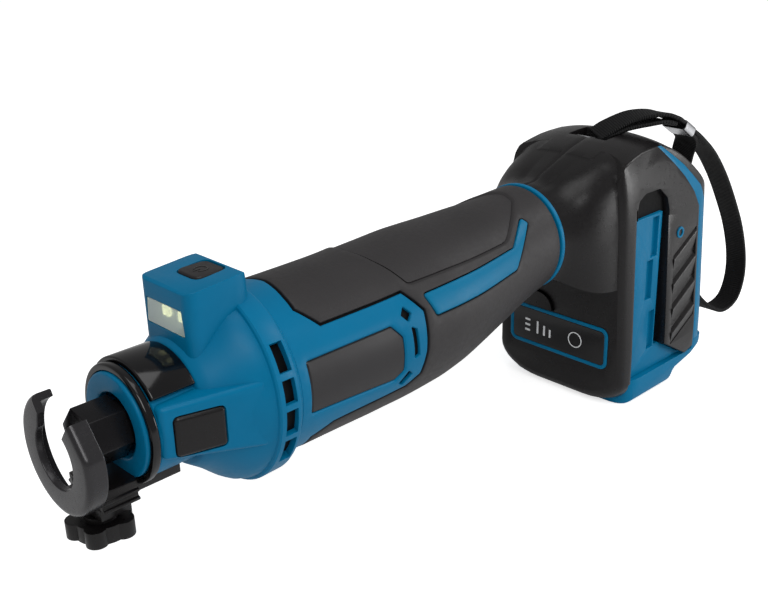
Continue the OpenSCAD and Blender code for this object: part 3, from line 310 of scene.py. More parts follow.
class Body:
    """Collects points and faces and turns them into one object."""

    def __init__(self) -> None:
        """Start with nothing."""
        self.points: list[Point3] = []
        self.faces: list[tuple[int, ...]] = []

    def add(self, points: Iterable[Sequence[float]], faces: Iterable[Sequence[int]]) -> "Body":
        """Add points and the faces between them.

        Args:
            points: New points.
            faces: Faces, counted from the first new point.

        Returns:
            This body.
        """
        first = len(self.points)
        self.points += [tuple(float(c) for c in p) for p in points]
        self.faces += [tuple(first + i for i in f) for f in faces]
        return self

    def loft(self, rings: Sequence[Sequence[Point3]], caps: bool = True) -> "Body":
        """Join closed rings of equal length into a tube.

        Args:
            rings: Rings of points.
            caps: Whether the first and last ring are filled.

        Returns:
            This body.
        """
        size, last = len(rings[0]), len(rings) - 1
        faces: list[tuple[int, ...]] = []
        for i in range(last):
            for j in range(size):
                k = (j + 1) % size
                faces.append((i * size + j, i * size + k, (i + 1) * size + k, (i + 1) * size + j))
        if caps:
            faces.append(tuple(reversed(range(size))))
            faces.append(tuple(last * size + j for j in range(size)))
        return self.add([p for ring in rings for p in ring], faces)

    def prism(self, axis: Axis, outline: Outline, low: float, high: float) -> "Body":
        """Extrude an outline, given in the other two axes, along an axis."""
        i = axis.value
        return self.loft([[(*p[:i], at, *p[i:]) for p in outline] for at in (low, high)])

    def turn(self, profile: Outline, steps: int, centre_z: float = 0.0) -> "Body":
        """Turn a closed profile of (x, radius) points about a line along X.

        Args:
            profile: The closed profile.
            steps: Facets round the line.
            centre_z: Height of the line.

        Returns:
            This body.
        """
        rings = [[(x, -r * math.cos(a), centre_z + r * math.sin(a)) for x, r in profile]
                 for a in round_angles(steps)]
        return self.loft(rings + rings[:1], caps=False)

    def build(self, name: str, smooth: float = 32.0) -> Thing:
        """Make the object.

        Args:
            name: The object's name.
            smooth: Edges sharper than this angle stay sharp.

        Returns:
            The new object, linked to the scene.
        """
        mesh = bpy.data.meshes.new(name)
        mesh.from_pydata([(x * MM, y * MM, z * MM) for x, y, z in self.points], [], self.faces)
        mesh.validate()
        obj = linked(name, mesh)
        tidy(obj)
        shade(obj, smooth)
        return obj


def linked(name: str, data: bpy.types.ID) -> Thing:
    """Make an object of some data and link it to the scene.

    Args:
        name: The object's name.
        data: Its mesh, camera or light.

    Returns:
        The object.
    """
    obj = bpy.data.objects.new(name, data)
    bpy.context.scene.collection.objects.link(obj)
    return obj


def prism(name: str, axis: Axis, outline: Outline, low: float, high: float) -> Thing:
    """An object made of one extruded outline."""
    return Body().prism(axis, outline, low, high).build(name)


def tidy(obj: Thing) -> None:
    """Weld points that coincide and turn all faces outwards.

    Args:
        obj: The object.
    """
    flat = 0.0005
    work = bmesh.new()
    work.from_mesh(obj.data)
    bmesh.ops.remove_doubles(work, verts=work.verts, dist=WELD * MM)
    bmesh.ops.dissolve_degenerate(work, edges=work.edges, dist=flat * MM)
    bmesh.ops.recalc_face_normals(work, faces=work.faces)
    work.to_mesh(obj.data)
    work.free()
    obj.data.update()


def shade(obj: Thing, angle: float) -> None:
    """Shade an object smooth, with sharp edges above an angle in degrees."""
    obj.data.shade_smooth()
    obj.data.set_sharp_from_angle(angle=math.radians(angle))


def settle(obj: Thing) -> None:
    """Bake an object's modifiers into its mesh.

    Args:
        obj: The object.
    """
    bpy.context.view_layer.update()
    graph = bpy.context.evaluated_depsgraph_get()
    mesh = bpy.data.meshes.new_from_object(obj.evaluated_get(graph))
    old = obj.data
    obj.modifiers.clear()
    obj.data = mesh
    mesh.name = obj.name
    bpy.data.meshes.remove(old)


def combine(obj: Thing, how: Cut, *others: Thing) -> None:
    """Combine an object with others, one after the other, which are used up.

    Args:
        obj: The object that changes.
        how: How they combine.
        others: The objects that are used up.
    """
    for other in others:
        change = obj.modifiers.new("combine", "BOOLEAN")
        change.operation = how.value
        change.solver = "EXACT"
        change.use_self = True
        change.object = other
        settle(obj)
        spent = other.data
        bpy.data.objects.remove(other)
        bpy.data.meshes.remove(spent)


def rounded(obj: Thing, width: float, segments: int, angle: float = 38.0,
            smooth: float = 40.0) -> None:
    """Round the sharp edges of an object.

    Args:
        obj: The object.
        width: Width of the rounding.
        segments: Facets across it.
        angle: Edges sharper than this are rounded.
        smooth: Edges sharper than this stay sharp in the shading.
    """
    level = math.radians(0.6)
    work = bmesh.new()
    work.from_mesh(obj.data)
    bmesh.ops.remove_doubles(work, verts=work.verts, dist=WELD * MM)
    bmesh.ops.dissolve_limit(work, angle_limit=level, verts=work.verts, edges=work.edges)
    work.to_mesh(obj.data)
    work.free()
    change = obj.modifiers.new("round", "BEVEL")
    change.width = width * MM
    change.segments = segments
    change.limit_method = "ANGLE"
    change.angle_limit = math.radians(angle)
    change.miter_outer = "MITER_ARC"
    change.use_clamp_overlap = True
    settle(obj)
    shade(obj, smooth)


def copied(node: str, name: str) -> Thing:
    """Copy a CAD node into a new object that stands for it.

    Args:
        node: The CAD node.
        name: The new object's name.

    Returns:
        The copy.
    """
    mesh = frame["nodes"][node].data.copy()
    mesh.materials.clear()
    obj = linked(name, mesh)
    tidy(obj)
    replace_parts(obj, node)
    return obj


# Finishes


class Nodes:
    """A material's node tree, with short ways to add to it."""

    def __init__(self, name: str) -> None:
        """Make a material with a surface shader.

        Args:
            name: The material's name.
        """
        self.material = bpy.data.materials.new(name)
        self.material.use_nodes = True
        self.tree = self.material.node_tree
        self.shader = self.tree.nodes["Principled BSDF"].inputs
        self.coords = self.tree.nodes.new("ShaderNodeTexCoord")

    def link(self, source: Socket, target: Socket) -> None:
        """Join two sockets."""
        self.tree.links.new(source, target)

    def add(self, kind: str, place: str = "", **values: float) -> bpy.types.Node:
        """Add a node.

        Args:
            kind: Its type.
            place: The coordinates that it follows, if any.
            values: Values of its inputs, by name, with _ for a space.

        Returns:
            The node.
        """
        node = self.tree.nodes.new(f"ShaderNode{kind}")
        for label, value in values.items():
            node.inputs[label.replace("_", " ")].default_value = value
        if place:
            self.link(self.coords.outputs[place], node.inputs["Vector"])
        return node

    def set(self, **values: float | Sequence[float]) -> None:
        """Set inputs of the surface shader, by name, with _ for a space."""
        for label, value in values.items():
            self.shader[label.replace("_", " ")].default_value = value

    def noise(self, scale: float, detail: float = 2.0, rough: float = 0.5) -> Socket:
        """Noise of so many features per metre, with octaves of a roughness."""
        node = self.add("TexNoise", "Object", Scale=scale, Detail=detail, Roughness=rough)
        return node.outputs["Fac"]

    def spread(self, value: Socket, low: float, high: float) -> Socket:
        """Map a value's middle range to another range.

        Args:
            value: The value.
            low: Result at the start of the middle range.
            high: Result at its end.

        Returns:
            The mapped value.
        """
        node = self.add("MapRange", From_Min=0.3, From_Max=0.7, To_Min=low, To_Max=high)
        self.link(value, node.inputs["Value"])
        return node.outputs["Result"]

    def blend(self, value: Socket, low: Sequence[float], high: Sequence[float]) -> Socket:
        """Mix two colours by a value.

        Args:
            value: The share of the second colour.
            low: First colour.
            high: Second colour.

        Returns:
            The mixed colour.
        """
        share, first, second, result = 0, 6, 7, 2
        node = self.add("Mix")
        node.data_type = "RGBA"
        node.inputs[first].default_value = low
        node.inputs[second].default_value = high
        self.link(value, node.inputs[share])
        return node.outputs[result]

    def bump(self, value: Socket, strength: float, depth: float) -> None:
        """Raise the surface by a value.

        Args:
            value: The height.
            strength: Strength of the effect.
            depth: Height of a full step.
        """
        node = self.add("Bump", Strength=strength, Distance=depth * MM)
        self.link(value, node.inputs["Height"])
        chain = self.shader["Normal"]
        if chain.is_linked:
            self.link(chain.links[0].from_socket, node.inputs["Normal"])
        self.link(node.outputs["Normal"], chain)


@dataclass(frozen=True)
class Finish:
    """A moulded or turned surface: its colour, gloss and grain."""

    name: str
    slot: str
    colour: Point3
    rough: float
    cloud: float = 0.06
    metal: float = 0.0
    specular: float = 0.4
    rough_spread: float = 0.05
    grain: float = 2600.0
    grain_strength: float = 0.06
    grain_depth: float = 0.05
    grain_rough: float = 0.6
    clear: float = 0.0
    glow: float = 0.0
    cloud_noise: Point3 = (38.0, 4.0, 0.6)
    gloss_noise: Point3 = (620.0, 3.0, 0.65)
    least_rough: float = 0.02

    def material(self) -> bpy.types.Material:
        """Make the material, or find it if it is already made.

        Returns:
            The material.
        """
        known = bpy.data.materials.get(self.name)
        if known:
            return known
        nodes = Nodes(self.name)
        cloud = nodes.spread(nodes.noise(*self.cloud_noise), 0.0, 1.0)
        dark, light = (scaled(self.colour, 1 + sign * self.cloud) for sign in (-1, 1))
        nodes.link(nodes.blend(cloud, dark, light), nodes.shader["Base Color"])
        low, high = self.rough - self.rough_spread, self.rough + self.rough_spread
        gloss = nodes.spread(nodes.noise(*self.gloss_noise), max(self.least_rough, low), high)
        nodes.link(gloss, nodes.shader["Roughness"])
        nodes.set(Metallic=self.metal, Specular_IOR_Level=self.specular,
                  Transmission_Weight=self.clear)
        if self.glow:
            nodes.set(Emission_Color=scaled(self.colour, 1.0), Emission_Strength=self.glow)
        self.surface(nodes)
        return nodes.material

    def surface(self, nodes: Nodes) -> None:
        """Add the fine relief of the mould."""
        grain = nodes.noise(self.grain, rough=self.grain_rough)
        nodes.bump(grain, self.grain_strength, self.grain_depth)

    def on(self, obj: Thing) -> Thing:
        """Give the finish to an object.

        Args:
            obj: The object.

        Returns:
            The same object.
        """
        obj.data.materials.clear()
        obj.data.materials.append(self.material())
        return obj


@dataclass(frozen=True)
class SoftGrip(Finish):
    """Overmoulded rubber with a leathery grain of tiny cells."""

    grain_rough: float = 0.7
    cell: float = 1500.0
    cell_strength: float = 0.22
    cell_depth: float = 0.10

    def surface(self, nodes: Nodes) -> None:
        """Add the cells under the fine grain.

        Args:
            nodes: The material's nodes.
        """
        cells = nodes.add("TexVoronoi", "Object", Scale=self.cell).outputs["Distance"]
        nodes.bump(cells, self.cell_strength, self.cell_depth)
        super().surface(nodes)


@dataclass(frozen=True)
class Webbing(Finish):
    """Woven nylon: ribs across the strap and a plain weave between them."""

    weave: tuple[tuple[str, float, float], ...] = (("X", 31.0, 0.7), ("Y", 0.45, 0.5))
    weave_depth: float = 0.25
    fuzz: Point3 = (3200.0, 3.0, 0.7)
    fuzz_strength: float = 0.2

    def surface(self, nodes: Nodes) -> None:
        """Add the weave along the strap's own length and width.

        Args:
            nodes: The material's nodes.
        """
        for way, scale, strength in self.weave:
            wave = nodes.add("TexWave", "UV", Scale=scale, Distortion=0.4, Detail=1.0)
            wave.wave_type = "BANDS"
            wave.bands_direction = way
            nodes.bump(wave.outputs["Fac"], strength, self.weave_depth)
        nodes.bump(nodes.noise(*self.fuzz), self.fuzz_strength, self.grain_depth)


BLUE = Finish("blue_moulding", "blue_plastic", linear(0, 107, 148), 0.36, 0.05,
              grain_strength=0.08, specular=0.11)
TRIM_BLUE = Finish("blue_trim", "trim_plastic", linear(0, 107, 146), 0.36, 0.05, specular=0.12)
BLACK = Finish("black_moulding", "black_plastic", linear(17, 15, 16), 0.31, 0.08,
               grain_strength=0.1, specular=0.3)
GLOSS = Finish("gloss_moulding", "gloss_black", linear(8, 7, 9), 0.12, 0.05,
               rough_spread=0.03, grain_strength=0.02)
SMOKED = Finish("smoked_window", "gloss_black", linear(30, 28, 30), 0.34, 0.08, grain_strength=0.04)
GRIP = SoftGrip("grip_rubber", "soft_grip", linear(44, 42, 43), 0.52, 0.1,
                grain_strength=0.18, specular=0.32)
KEY_GREY = Finish("key_rubber", "button_grey", linear(34, 32, 33), 0.45, 0.08, specular=0.3)
# Painted shade: a near-black finish, darker than the black moulding, put in the hollow behind the
# vent slots, under the grip's grooves and vents and on the recess floors over the rails.
RECESS_SHADE = Finish("painted_recess_shade", "black_plastic", linear(6, 6, 7), 0.6, 0.1, specular=0.1)
FOOT_STEEL = Finish("foot_enamel", "black_steel", linear(47, 46, 48), 0.25, 0.08, 0.35,
                    grain_strength=0.1)
NUT_STEEL = Finish("blackened_steel", "black_steel", linear(28, 27, 29), 0.30, 0.1, 0.5,
                   specular=0.3)
STEEL = Finish("bright_steel", "steel", linear(196, 197, 200), 0.24, metal=1.0)
CORE = Finish("core_laminate", "core_steel", linear(120, 120, 124), 0.45, 0.1, 0.9)
COPPER = Finish("copper_wire", "copper", linear(196, 116, 60), 0.34, 0.15, 0.9)
CIRCUIT = Finish("circuit_board", "circuit", linear(24, 92, 52), 0.45, 0.12)
FAN = Finish("fan_black", "fan_plastic", linear(30, 30, 32), 0.5, 0.1)
CELL = Finish("cell_sleeve", "cell_wrap", linear(30, 112, 84), 0.3)
LENS = Finish("clear_lens", "lens", linear(232, 244, 241), 0.06, 0.02, clear=0.55,
              grain_strength=0.02, rough_spread=0.03)
LED_SEAT = Finish("led_seat", "circuit", linear(212, 222, 219), 0.4)
LED_CHIP = Finish("led_chip", "lens", linear(255, 246, 190), 0.4, 0.04, glow=2.0)
MARK = Finish("pale_mark", "lens", linear(226, 228, 230), 0.5, 0.04)
STRAP = Webbing("woven_nylon", "webbing", linear(12, 12, 13), 0.62, 0.15, specular=0.2)


def place(obj: Thing, finish: Finish, body: str = TOOL) -> Thing:
    """Dress a piece and let it ride on a body.

    Args:
        obj: The piece.
        finish: Its finish.
        body: The CAD body that carries it.

    Returns:
        The same piece.
    """
    finish.on(obj)
    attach(obj, body)
    LOG.info("%s: %d faces", obj.name, len(obj.data.polygons))
    return obj


def softened(node: str, name: str, finish: Finish, width: float, segments: int = 3,
             body: str = TOOL) -> None:
    """Show a CAD node with its edges rounded.

    Args:
        node: The CAD node.
        name: Name of the piece.
        finish: Its finish.
        width: Width of the rounding.
        segments: Facets across it.
        body: The CAD body that carries it.
    """
    obj = copied(node, name)
    rounded(obj, width, segments)
    place(obj, finish, body)


def keep_solids(finish: Finish, *nodes: str) -> None:
    """Give a finish to CAD nodes that keep their shape."""
    for node in nodes:
        finish.on(frame["nodes"][node])


# Sub-assemblies


@dataclass
class Nose:
    """The blue ring, the bead behind it and the glossy collar on top."""

    ring: tuple[Point2, Point2] = ((0.0, 10.0), (5.0, 16.1))
    ring_rounds: tuple[float, ...] = (1.0, 0.3, 0.3, 0.9)
    bead: tuple[Point2, Point2] = ((0.9, 16.4), (3.6, 18.4))
    bead_rounds: tuple[float, ...] = (0.2, 0.2, 1.3, 1.3)
    notch: tuple[Point2, Point2] = ((-2.0, -33.8), (7.0, -13.8))
    notch_half: float = 7.0
    facets: int = 144

    def turned(self, node: str, name: str, profile: Outline, smooth: float, finish: Finish) -> None:
        """Make a ring with a notch for the depth guide.

        Args:
            node: The CAD node that it stands for.
            name: Its name.
            profile: Its (x, radius) points.
            smooth: Edges sharper than this stay sharp.
            finish: Its finish.
        """
        obj = Body().turn(profile, self.facets).build(name)
        block = prism("notch", Axis.Y, oblong(*self.notch), -self.notch_half, self.notch_half)
        combine(obj, Cut.REMOVE, block)
        shade(obj, smooth)
        place(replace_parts(obj, node), finish)

    def build(self) -> None:
        """Make the three pieces."""
        ring = oblong(*self.ring, self.ring_rounds, 4)
        bead = oblong(*self.bead, self.bead_rounds, 6)
        self.turned("nose_ring", "nose_ring_dress", ring, 32, BLUE)
        self.turned("nose_bead_ring", "nose_bead_dress", bead, 40, GLOSS)
        softened("nose_collar", "nose_collar_dress", GLOSS, 0.55)


@dataclass
class FrontHousing:
    """The blue head: nose tube, flare, vent band, lamp tower and side pads."""

    outer: Points2 = (
        (3.8, 16.9), (4.3, 17.4), (18.4, 17.4), (18.6, 18.8), (19.0, 19.4), (22.0, 21.1),
        (25.0, 22.7), (28.0, 24.3), (30.0, 25.4), (31.5, 26.2), (33.0, 27.0), (35.6, 28.4),
        (36.5, 28.7), (36.7, 29.5), (37.2, 30.0), (43.9, 30.1), (44.6, 29.8), (45.3, 28.7),
        (46.5, 28.0))
    bulge: Profile = Profile((
        (18.4, 1.0), (25, 1.05), (30, 1.115), (33, 1.125), (37.2, 1.075), (44, 1.06), (46.5, 1.03)))
    cavity: Points2 = (
        (2.0, 10.4), (11.0, 10.4), (11.02, 12.0), (20.0, 12.0), (20.02, 9.7), (22.0, 9.7),
        (22.02, 11.1), (29.3, 11.1), (31.0, 21.5), (37.0, 27.2), (46.4, 26.2), (48.0, 26.2))
    facets: int = 160
    tower_half: float = 12.4
    tower_side: Points2 = (
        (20.3, 12), (20.3, 36.6), (21.2, 37.2), (40.3, 38.6), (41.3, 38.0), (43.4, 30.2),
        (42.6, 28.6), (38.0, 26.8), (36.0, 12))
    tower_x: Point2 = (20.3, 43.4)
    tower_rounds: tuple[float, ...] = (3.6, 6.5, 6.5, 3.2)
    tower_soft: tuple[float, ...] = (0.9, 4, 34)
    pad_soft: tuple[float, ...] = (1.4, 4, 25)
    pad_rows: tuple[tuple[float, ...], ...] = (
        (4.2, 5.0, -6.6, 9.8), (4.2, 17.9, -6.4, 9.7), (34.6, 26.6, -10.7, 10.6),
        (36.4, 24.0, -10.7, 10.6), (36.4, 5.0, -10.7, 10.6))
    slots: Points2 = ((22.5, 39.7), (3.8, 18.3), (-16.2, -0.1), (-38.0, -19.9))
    slot_low: Point2 = (38.7, 24.0)
    slot_high: Point2 = (43.1, 33.0)
    slot_steps: int = 8
    # Painted shade: a dark ring just inside the vent slots, standing for the shade in the hollow
    # behind them.
    slot_shade: tuple[Point2, Point2] = ((37.6, 27.6), (44.2, 28.4))
    led_y: Point2 = (-9.3, 10.1)
    led_z: Point2 = (23.2, 31.4)
    led_lean: float = 0.9
    led_well: Point2 = (19.0, 27.2)
    lens_x: Point2 = (20.45, 21.8)
    lens_gap: float = 0.25
    lens_round: float = 0.6
    seat_x: Point2 = (24.2, 26.6)
    chip_x: Point2 = (23.2, 24.2)
    chip_y: Point2 = (-5.0, 3.0)
    chip_z: Point2 = (26.2, 29.3)
    chip_half: float = 1.7
    chip_round: float = 0.4
    key_x: float = 33.9
    key_half: float = 5.8
    key_round: float = 2.9
    key_well: Point2 = (31.0, 40.0)
    lock_well: tuple[Point2, Point2] = ((7.4, -6.6), (22.6, 6.6))
    lock_y: Point2 = (-30.0, -13.4)
    lock_round: float = 2.0
    notch: tuple[Point2, Point2] = ((-2.0, -40.0), (15.7, -13.8))
    notch_half: float = 7.0
    mark_arc: float = 145.0
    mark_rows: Points2 = ((1.7, -0.1), (2.35, -0.1), (2.3, 0.12), (1.75, 0.12))
    mark_bar: tuple[Point2, Point2] = ((-2.7, -0.3), (-0.4, 0.3))

    def solid(self, profile: Outline, name: str, bulge: Profile = LEVEL) -> Thing:
        """A closed turned form about the spindle.

        Args:
            profile: Its (x, radius) points.
            name: Its name.
            bulge: Factor on its height.

        Returns:
            The form.
        """
        turns = round_angles(self.facets)
        return Body().loft([[(x, -r * math.cos(a), r * bulge.at(x) * math.sin(a)) for a in turns]
                            for x, r in profile]).build(name)

    def tower(self) -> Thing:
        """The lamp tower with its undercut heel.

        Returns:
            The tower.
        """
        half, (front, rear) = self.tower_half, self.tower_x
        obj = prism("tower", Axis.Y, self.tower_side, -half, half)
        plan = oblong((front, -half), (rear, half), self.tower_rounds, 6)
        combine(obj, Cut.KEEP, prism("tower_plan", Axis.Z, plan, 0.0, WIDE))
        rounded(obj, *self.tower_soft)
        return obj

    def pad(self, side: Side) -> Thing:
        """A side pad: a wedge that stands out of the flare.

        Args:
            side: Which flank.

        Returns:
            The pad.
        """
        rings = [[(row[0], side.value * row[1], row[i]) for row in self.pad_rows] for i in (2, 3)]
        obj = Body().loft(rings).build("pad")
        rounded(obj, *self.pad_soft)
        return obj

    def slot_cutter(self) -> Thing:
        """Curved blocks that open the vent slots on both flanks.

        Returns:
            The blocks.
        """
        body = Body()
        section = oblong(self.slot_low, self.slot_high)
        for low, high in self.slots:
            angles = [math.radians(low + (high - low) * k / self.slot_steps)
                      for k in range(self.slot_steps + 1)]
            for side in Side:
                body.loft([[(x, side.value * r * math.cos(a), r * math.sin(a)) for x, r in section]
                           for a in angles])
        return body.build("slot_cutter")

    def pockets(self) -> Thing:
        """Lamp window, key well, lock pocket and the notch under the nose.

        Returns:
            The blocks that open them.
        """
        x, half = self.key_x, self.key_half
        well = oblong((x - half, -half), (x + half, half), self.key_round, 6)
        body = Body().prism(Axis.X, self.window(0.0), *self.led_well)
        body.prism(Axis.Z, well, *self.key_well)
        body.prism(Axis.Y, oblong(*self.lock_well, self.lock_round), *self.lock_y)
        body.prism(Axis.Y, oblong(*self.notch), -self.notch_half, self.notch_half)
        return body.build("pockets")

    def window(self, gap: float) -> Loop2:
        """Outline of the lamp window in (y, z), moved in by a gap."""
        (near, far), (low, high) = ((p[0] + gap, p[1] - gap) for p in (self.led_y, self.led_z))
        return [(near, low), (far, low), (far - self.led_lean, high), (near + self.led_lean, high)]

    def lamp(self) -> None:
        """The lens, the seat behind it and its two chips."""
        outline = filleted(self.window(self.lens_gap), self.lens_round, 4)
        lens = prism("lamp_lens", Axis.X, outline, *self.lens_x)
        place(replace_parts(lens, "led_lens"), LENS)
        seat = prism("lamp_seat", Axis.X, self.window(0.0), *self.seat_x)
        place(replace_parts(seat, "led_board"), LED_SEAT)
        chips = Body()
        for y in self.chip_y:
            low, high = zip((y - self.chip_half, y + self.chip_half), self.chip_z)
            chips.prism(Axis.X, oblong(low, high, self.chip_round, 3), *self.chip_x)
        place(chips.build("lamp_chips"), LED_CHIP)

    def keys(self) -> None:
        """The power key with its raised mark, and the spindle lock button."""
        softened("power_button", "power_key", KEY_GREY, 0.7, 4, "power_cap")
        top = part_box("power_button")[1].z / MM
        rings = []
        for a in np.radians(np.linspace(-self.mark_arc, self.mark_arc, 25)):
            rings.append([(self.key_x + r * math.cos(a), r * math.sin(a), top + dz)
                          for r, dz in self.mark_rows])
        low, high = ((self.key_x + x, y) for x, y in self.mark_bar)
        mark = Body().loft(rings)
        mark.prism(Axis.Z, oblong(low, high), *(top + self.mark_rows[i][1] for i in (0, 2)))
        place(mark.build("power_mark"), GLOSS, "power_cap")
        softened("lock_button", "lock_key", BLACK, 2.1, 6, "lock_group")

    def build(self) -> None:
        """Make the head, the lamp and the keys."""
        obj = self.solid(self.outer, "front_housing_dress", self.bulge)
        combine(obj, Cut.JOIN, self.tower(), *(self.pad(side) for side in Side))
        cavity = self.solid(self.cavity, "cavity")
        combine(obj, Cut.REMOVE, cavity, self.slot_cutter(), self.pockets())
        tidy(obj)
        shade(obj, 30)
        place(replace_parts(obj, "front_housing"), BLUE)
        # A near-black ring behind the vent slots: painted shade.
        place(Body().turn(oblong(*self.slot_shade), 96).build("vent_slot_shade"), RECESS_SHADE)
        self.lamp()
        self.keys()


@dataclass
class Handle:
    """The grip: blue shell, soft overmould, recessed palm pad, side windows and trim strips."""

    front_x: float = 46.5
    rear_x: float = 180.0
    unroll_r: float = 28.0
    radius: Profile = Profile((
        (46.5, 28.0), (60, 27.9), (88, 28.1), (100, 28.35), (114, 28.25), (125, 27.5), (137, 25.95),
        (150, 24.1), (165, 21.95), (180, 20.4)))
    rise: Profile = Profile((
        (46.5, 0.0), (80, 0.0), (100, 0.55), (125, 2.15), (150, 5.55), (165, 7.8), (180, 10.0)))
    panel: Points2 = (
        (53.6, -17.3), (61.2, -13.9), (92.2, -13.0), (97.8, -9.8), (99.4, -1.7), (100.1, 11.6),
        (94.2, 18.4), (60.3, 17.9))
    panel_low: Points2 = ((53.6, -90.0), (53.6, -60.0))
    panel_high: Points2 = ((54.7, 56.0), (55.1, 68.0), (56.4, 90.0))
    window: Points2 = (
        (50.5, 10.8), (85.7, 10.9), (89.7, 6.3), (89.8, -5.8), (85.9, -8.2), (50.5, -6.4))
    vents: tuple[Points2, ...] = (
        ((90.6, 12.7), (92.6, 15.0), (95.0, 12.3), (93.0, 10.0)),
        ((93.5, 8.5), (95.7, 7.2), (96.1, -2.0), (93.9, -2.8)),
        ((88.0, -10.4), (91.8, -6.6), (93.8, -8.4), (90.2, -11.9)))
    palm: Points2 = ((93.7, 26.9), (98.9, 20.2), (150.1, 20.6), (160.3, 26.0), (167.6, 28.8))
    palm_x: Point2 = (91.4, 169.6)
    palm_rounds: tuple[float, ...] = (0, 2.2, 7.0, 6.0, 6.0, 12.0, 6.0, 6.0, 7.0, 2.2, 0, 30.0)
    trim: Points2 = (
        (102.4, 16.1), (105.5, 8.8), (150.4, 10.8), (165.3, 22.9), (163.4, 24.8), (151.8, 17.9))
    trim_rounds: tuple[float, ...] = (1.0, 1.0, 1.6, 1.2, 1.2, 1.2)
    window_round: float = 1.1
    vent_round: float = 0.45
    shell_gap: float = 0.95
    trim_gap: float = 0.4
    pad_gap: float = 0.15
    window_gap: float = 0.12
    shell_level: Point2 = (0.0, 1.2)
    skin_level: Point2 = (0.2, 1.2)
    pad_level: Point2 = (-0.5, 0.5)
    window_level: Point2 = (-0.35, 0.8)
    trim_level: Point2 = (0.35, 1.4)
    shell_edge: Points2 = ((0.0, 0.25), (0.3, 0.0))
    vent_edge: Points2 = ((0.0, 0.25), (0.25, 0.0))
    sunk_edge: Points2 = ((0.0, 0.55), (0.45, 0.08), (0.7, 0.0))
    soft_edge: Points2 = ((0.0, 0.30), (0.18, 0.10), (0.5, 0.0))
    ledge: Points2 = ((0.0, 0.95), (0.9, 0.15), (1.3, 0.0))
    pad_edge: Points2 = ((0.0, 0.0),)
    window_edge: Points2 = ((0.0, 0.35), (0.5, 0.0))
    trim_edge: Points2 = ((0.0, 0.4), (0.35, 0.05), (0.6, 0.0))
    mesh_step: float = 2.0
    border_step: float = 1.0
    core_depths: Point3 = (-2.0, -1.1, -2.6)
    core_steps: tuple[int, int] = (61, 97)
    neck: tuple[Point2, Point2] = ((180.0, 18.0), (182.0, 20.9))
    neck_rounds: tuple[float, ...] = (0, 0, 0.6, 0.6)
    neck_z: float = 10.0

    def arc(self, angle: float) -> float:
        """Arc length at an angle on the unrolled skin."""
        return self.unroll_r * math.radians(angle)

    def on_flank(self, points: Outline, side: Side) -> Loop2:
        """Lay (x, angle) points on the unrolled skin of a flank."""
        return [(x, self.arc(a if side is Side.NEAR else 180 - a)) for x, a in points]

    def flat(self, points: Outline, side: Side) -> Loop2:
        """Lay an outline seen from the side on the unrolled skin.

        Args:
            points: The outline's (x, z) points.
            side: Which flank.

        Returns:
            The outline's (x, arc) points.
        """
        sines = [(x, (z - self.rise.at(x)) / self.radius.at(x)) for x, z in points]
        angles = [(x, math.degrees(math.asin(max(-1.0, min(1.0, s))))) for x, s in sines]
        return self.on_flank(angles, side)

    def spot(self, x: float, arc: float, height: float) -> Point3:
        """Place of a point of the unrolled skin.

        Args:
            x: Distance from the nose.
            arc: Arc length.
            height: Height over the skin.

        Returns:
            The place.
        """
        a = arc / self.unroll_r
        r = self.radius.at(x) + height
        return (x, -r * math.cos(a), self.rise.at(x) + r * math.sin(a))

    def blue_edge(self, side: Side) -> Loop2:
        """The blue shell's rear edge on one flank, from below to above."""
        low, high = (self.on_flank(points, side) for points in (self.panel_low, self.panel_high))
        return low + self.flat(self.panel, side) + high

    def palm_loop(self) -> Loop2:
        """The palm pad's outline, right over the top.

        Returns:
            Its points on the unrolled skin.
        """
        near, far = (self.flat(self.palm, side) for side in Side)
        front, rear = ((x, self.arc(90)) for x in self.palm_x)
        return filleted(near + [rear] + far[::-1] + [front], self.palm_rounds, 6)

    def within(self, points: np.ndarray, loops: Sequence[Outline]) -> np.ndarray:
        """Tell which points lie inside the first loop and outside the others.

        Args:
            points: Array of (n, 2) places.
            loops: The outlines.

        Returns:
            One truth value for each point.
        """
        result = inside(points, loops[0])
        for hole in loops[1:]:
            result &= ~inside(points, hole)
        return result

    def patch(self, name: str, outer: Outline, border: Points2, height: float, skirt: float,
              holes: Sequence[tuple[Outline, Points2]] = ()) -> Thing:
        """A patch of skin with shaped borders.

        Args:
            name: Name of the piece.
            outer: Outline on the unrolled skin.
            border: Rows of (inset, drop) from the outline inwards.
            height: Height of the patch over the skin.
            skirt: Depth of the wall under its borders.
            holes: Outlines of openings, each with such rows.

        Returns:
            The patch.
        """
        body, inner = Body(), []
        loops = [(turned_left(outer), border)] + [(turned_left(h)[::-1], rows) for h, rows in holes]
        for loop, edge in loops:
            ring = resampled(loop, self.border_step)
            rows = [[self.spot(x, s, height - edge[0][1] - skirt) for x, s in ring]]
            for inset, drop in edge:
                rows.append([self.spot(x, s, height - drop) for x, s in moved_in(ring, inset)])
            body.loft(rows, caps=False)
            inner.append(moved_in(ring, edge[-1][0]))
        step, clear = self.mesh_step, 0.6 * self.mesh_step
        xs = np.arange(self.front_x, self.rear_x + step, step)
        arcs = np.arange(self.arc(-90), self.arc(270) + step, step)
        shifts = [(step / 2 if k % 2 else 0.0, s) for k, s in enumerate(arcs)]
        grid = np.array([(x + shift, s) for shift, s in shifts for x in xs])
        keep = self.within(grid, inner)
        edges, first = [], 0
        for loop in inner:
            keep &= far_from(grid, loop, clear)
            edges += [(first + i, first + (i + 1) % len(loop)) for i in range(len(loop))]
            first += len(loop)
        points = [Vector(p) for loop in inner for p in loop] + [Vector(p) for p in grid[keep]]
        verts, _, faces, *_ = delaunay_2d_cdt(points, edges, [], 0, 1e-5)
        centres = np.array([np.mean([verts[i] for i in f], axis=0)[:2] for f in faces])
        good = self.within(centres, inner)
        body.add([self.spot(*v[:2], height) for v in verts], [f for f, g in zip(faces, good) if g])
        return body.build(name, 30)

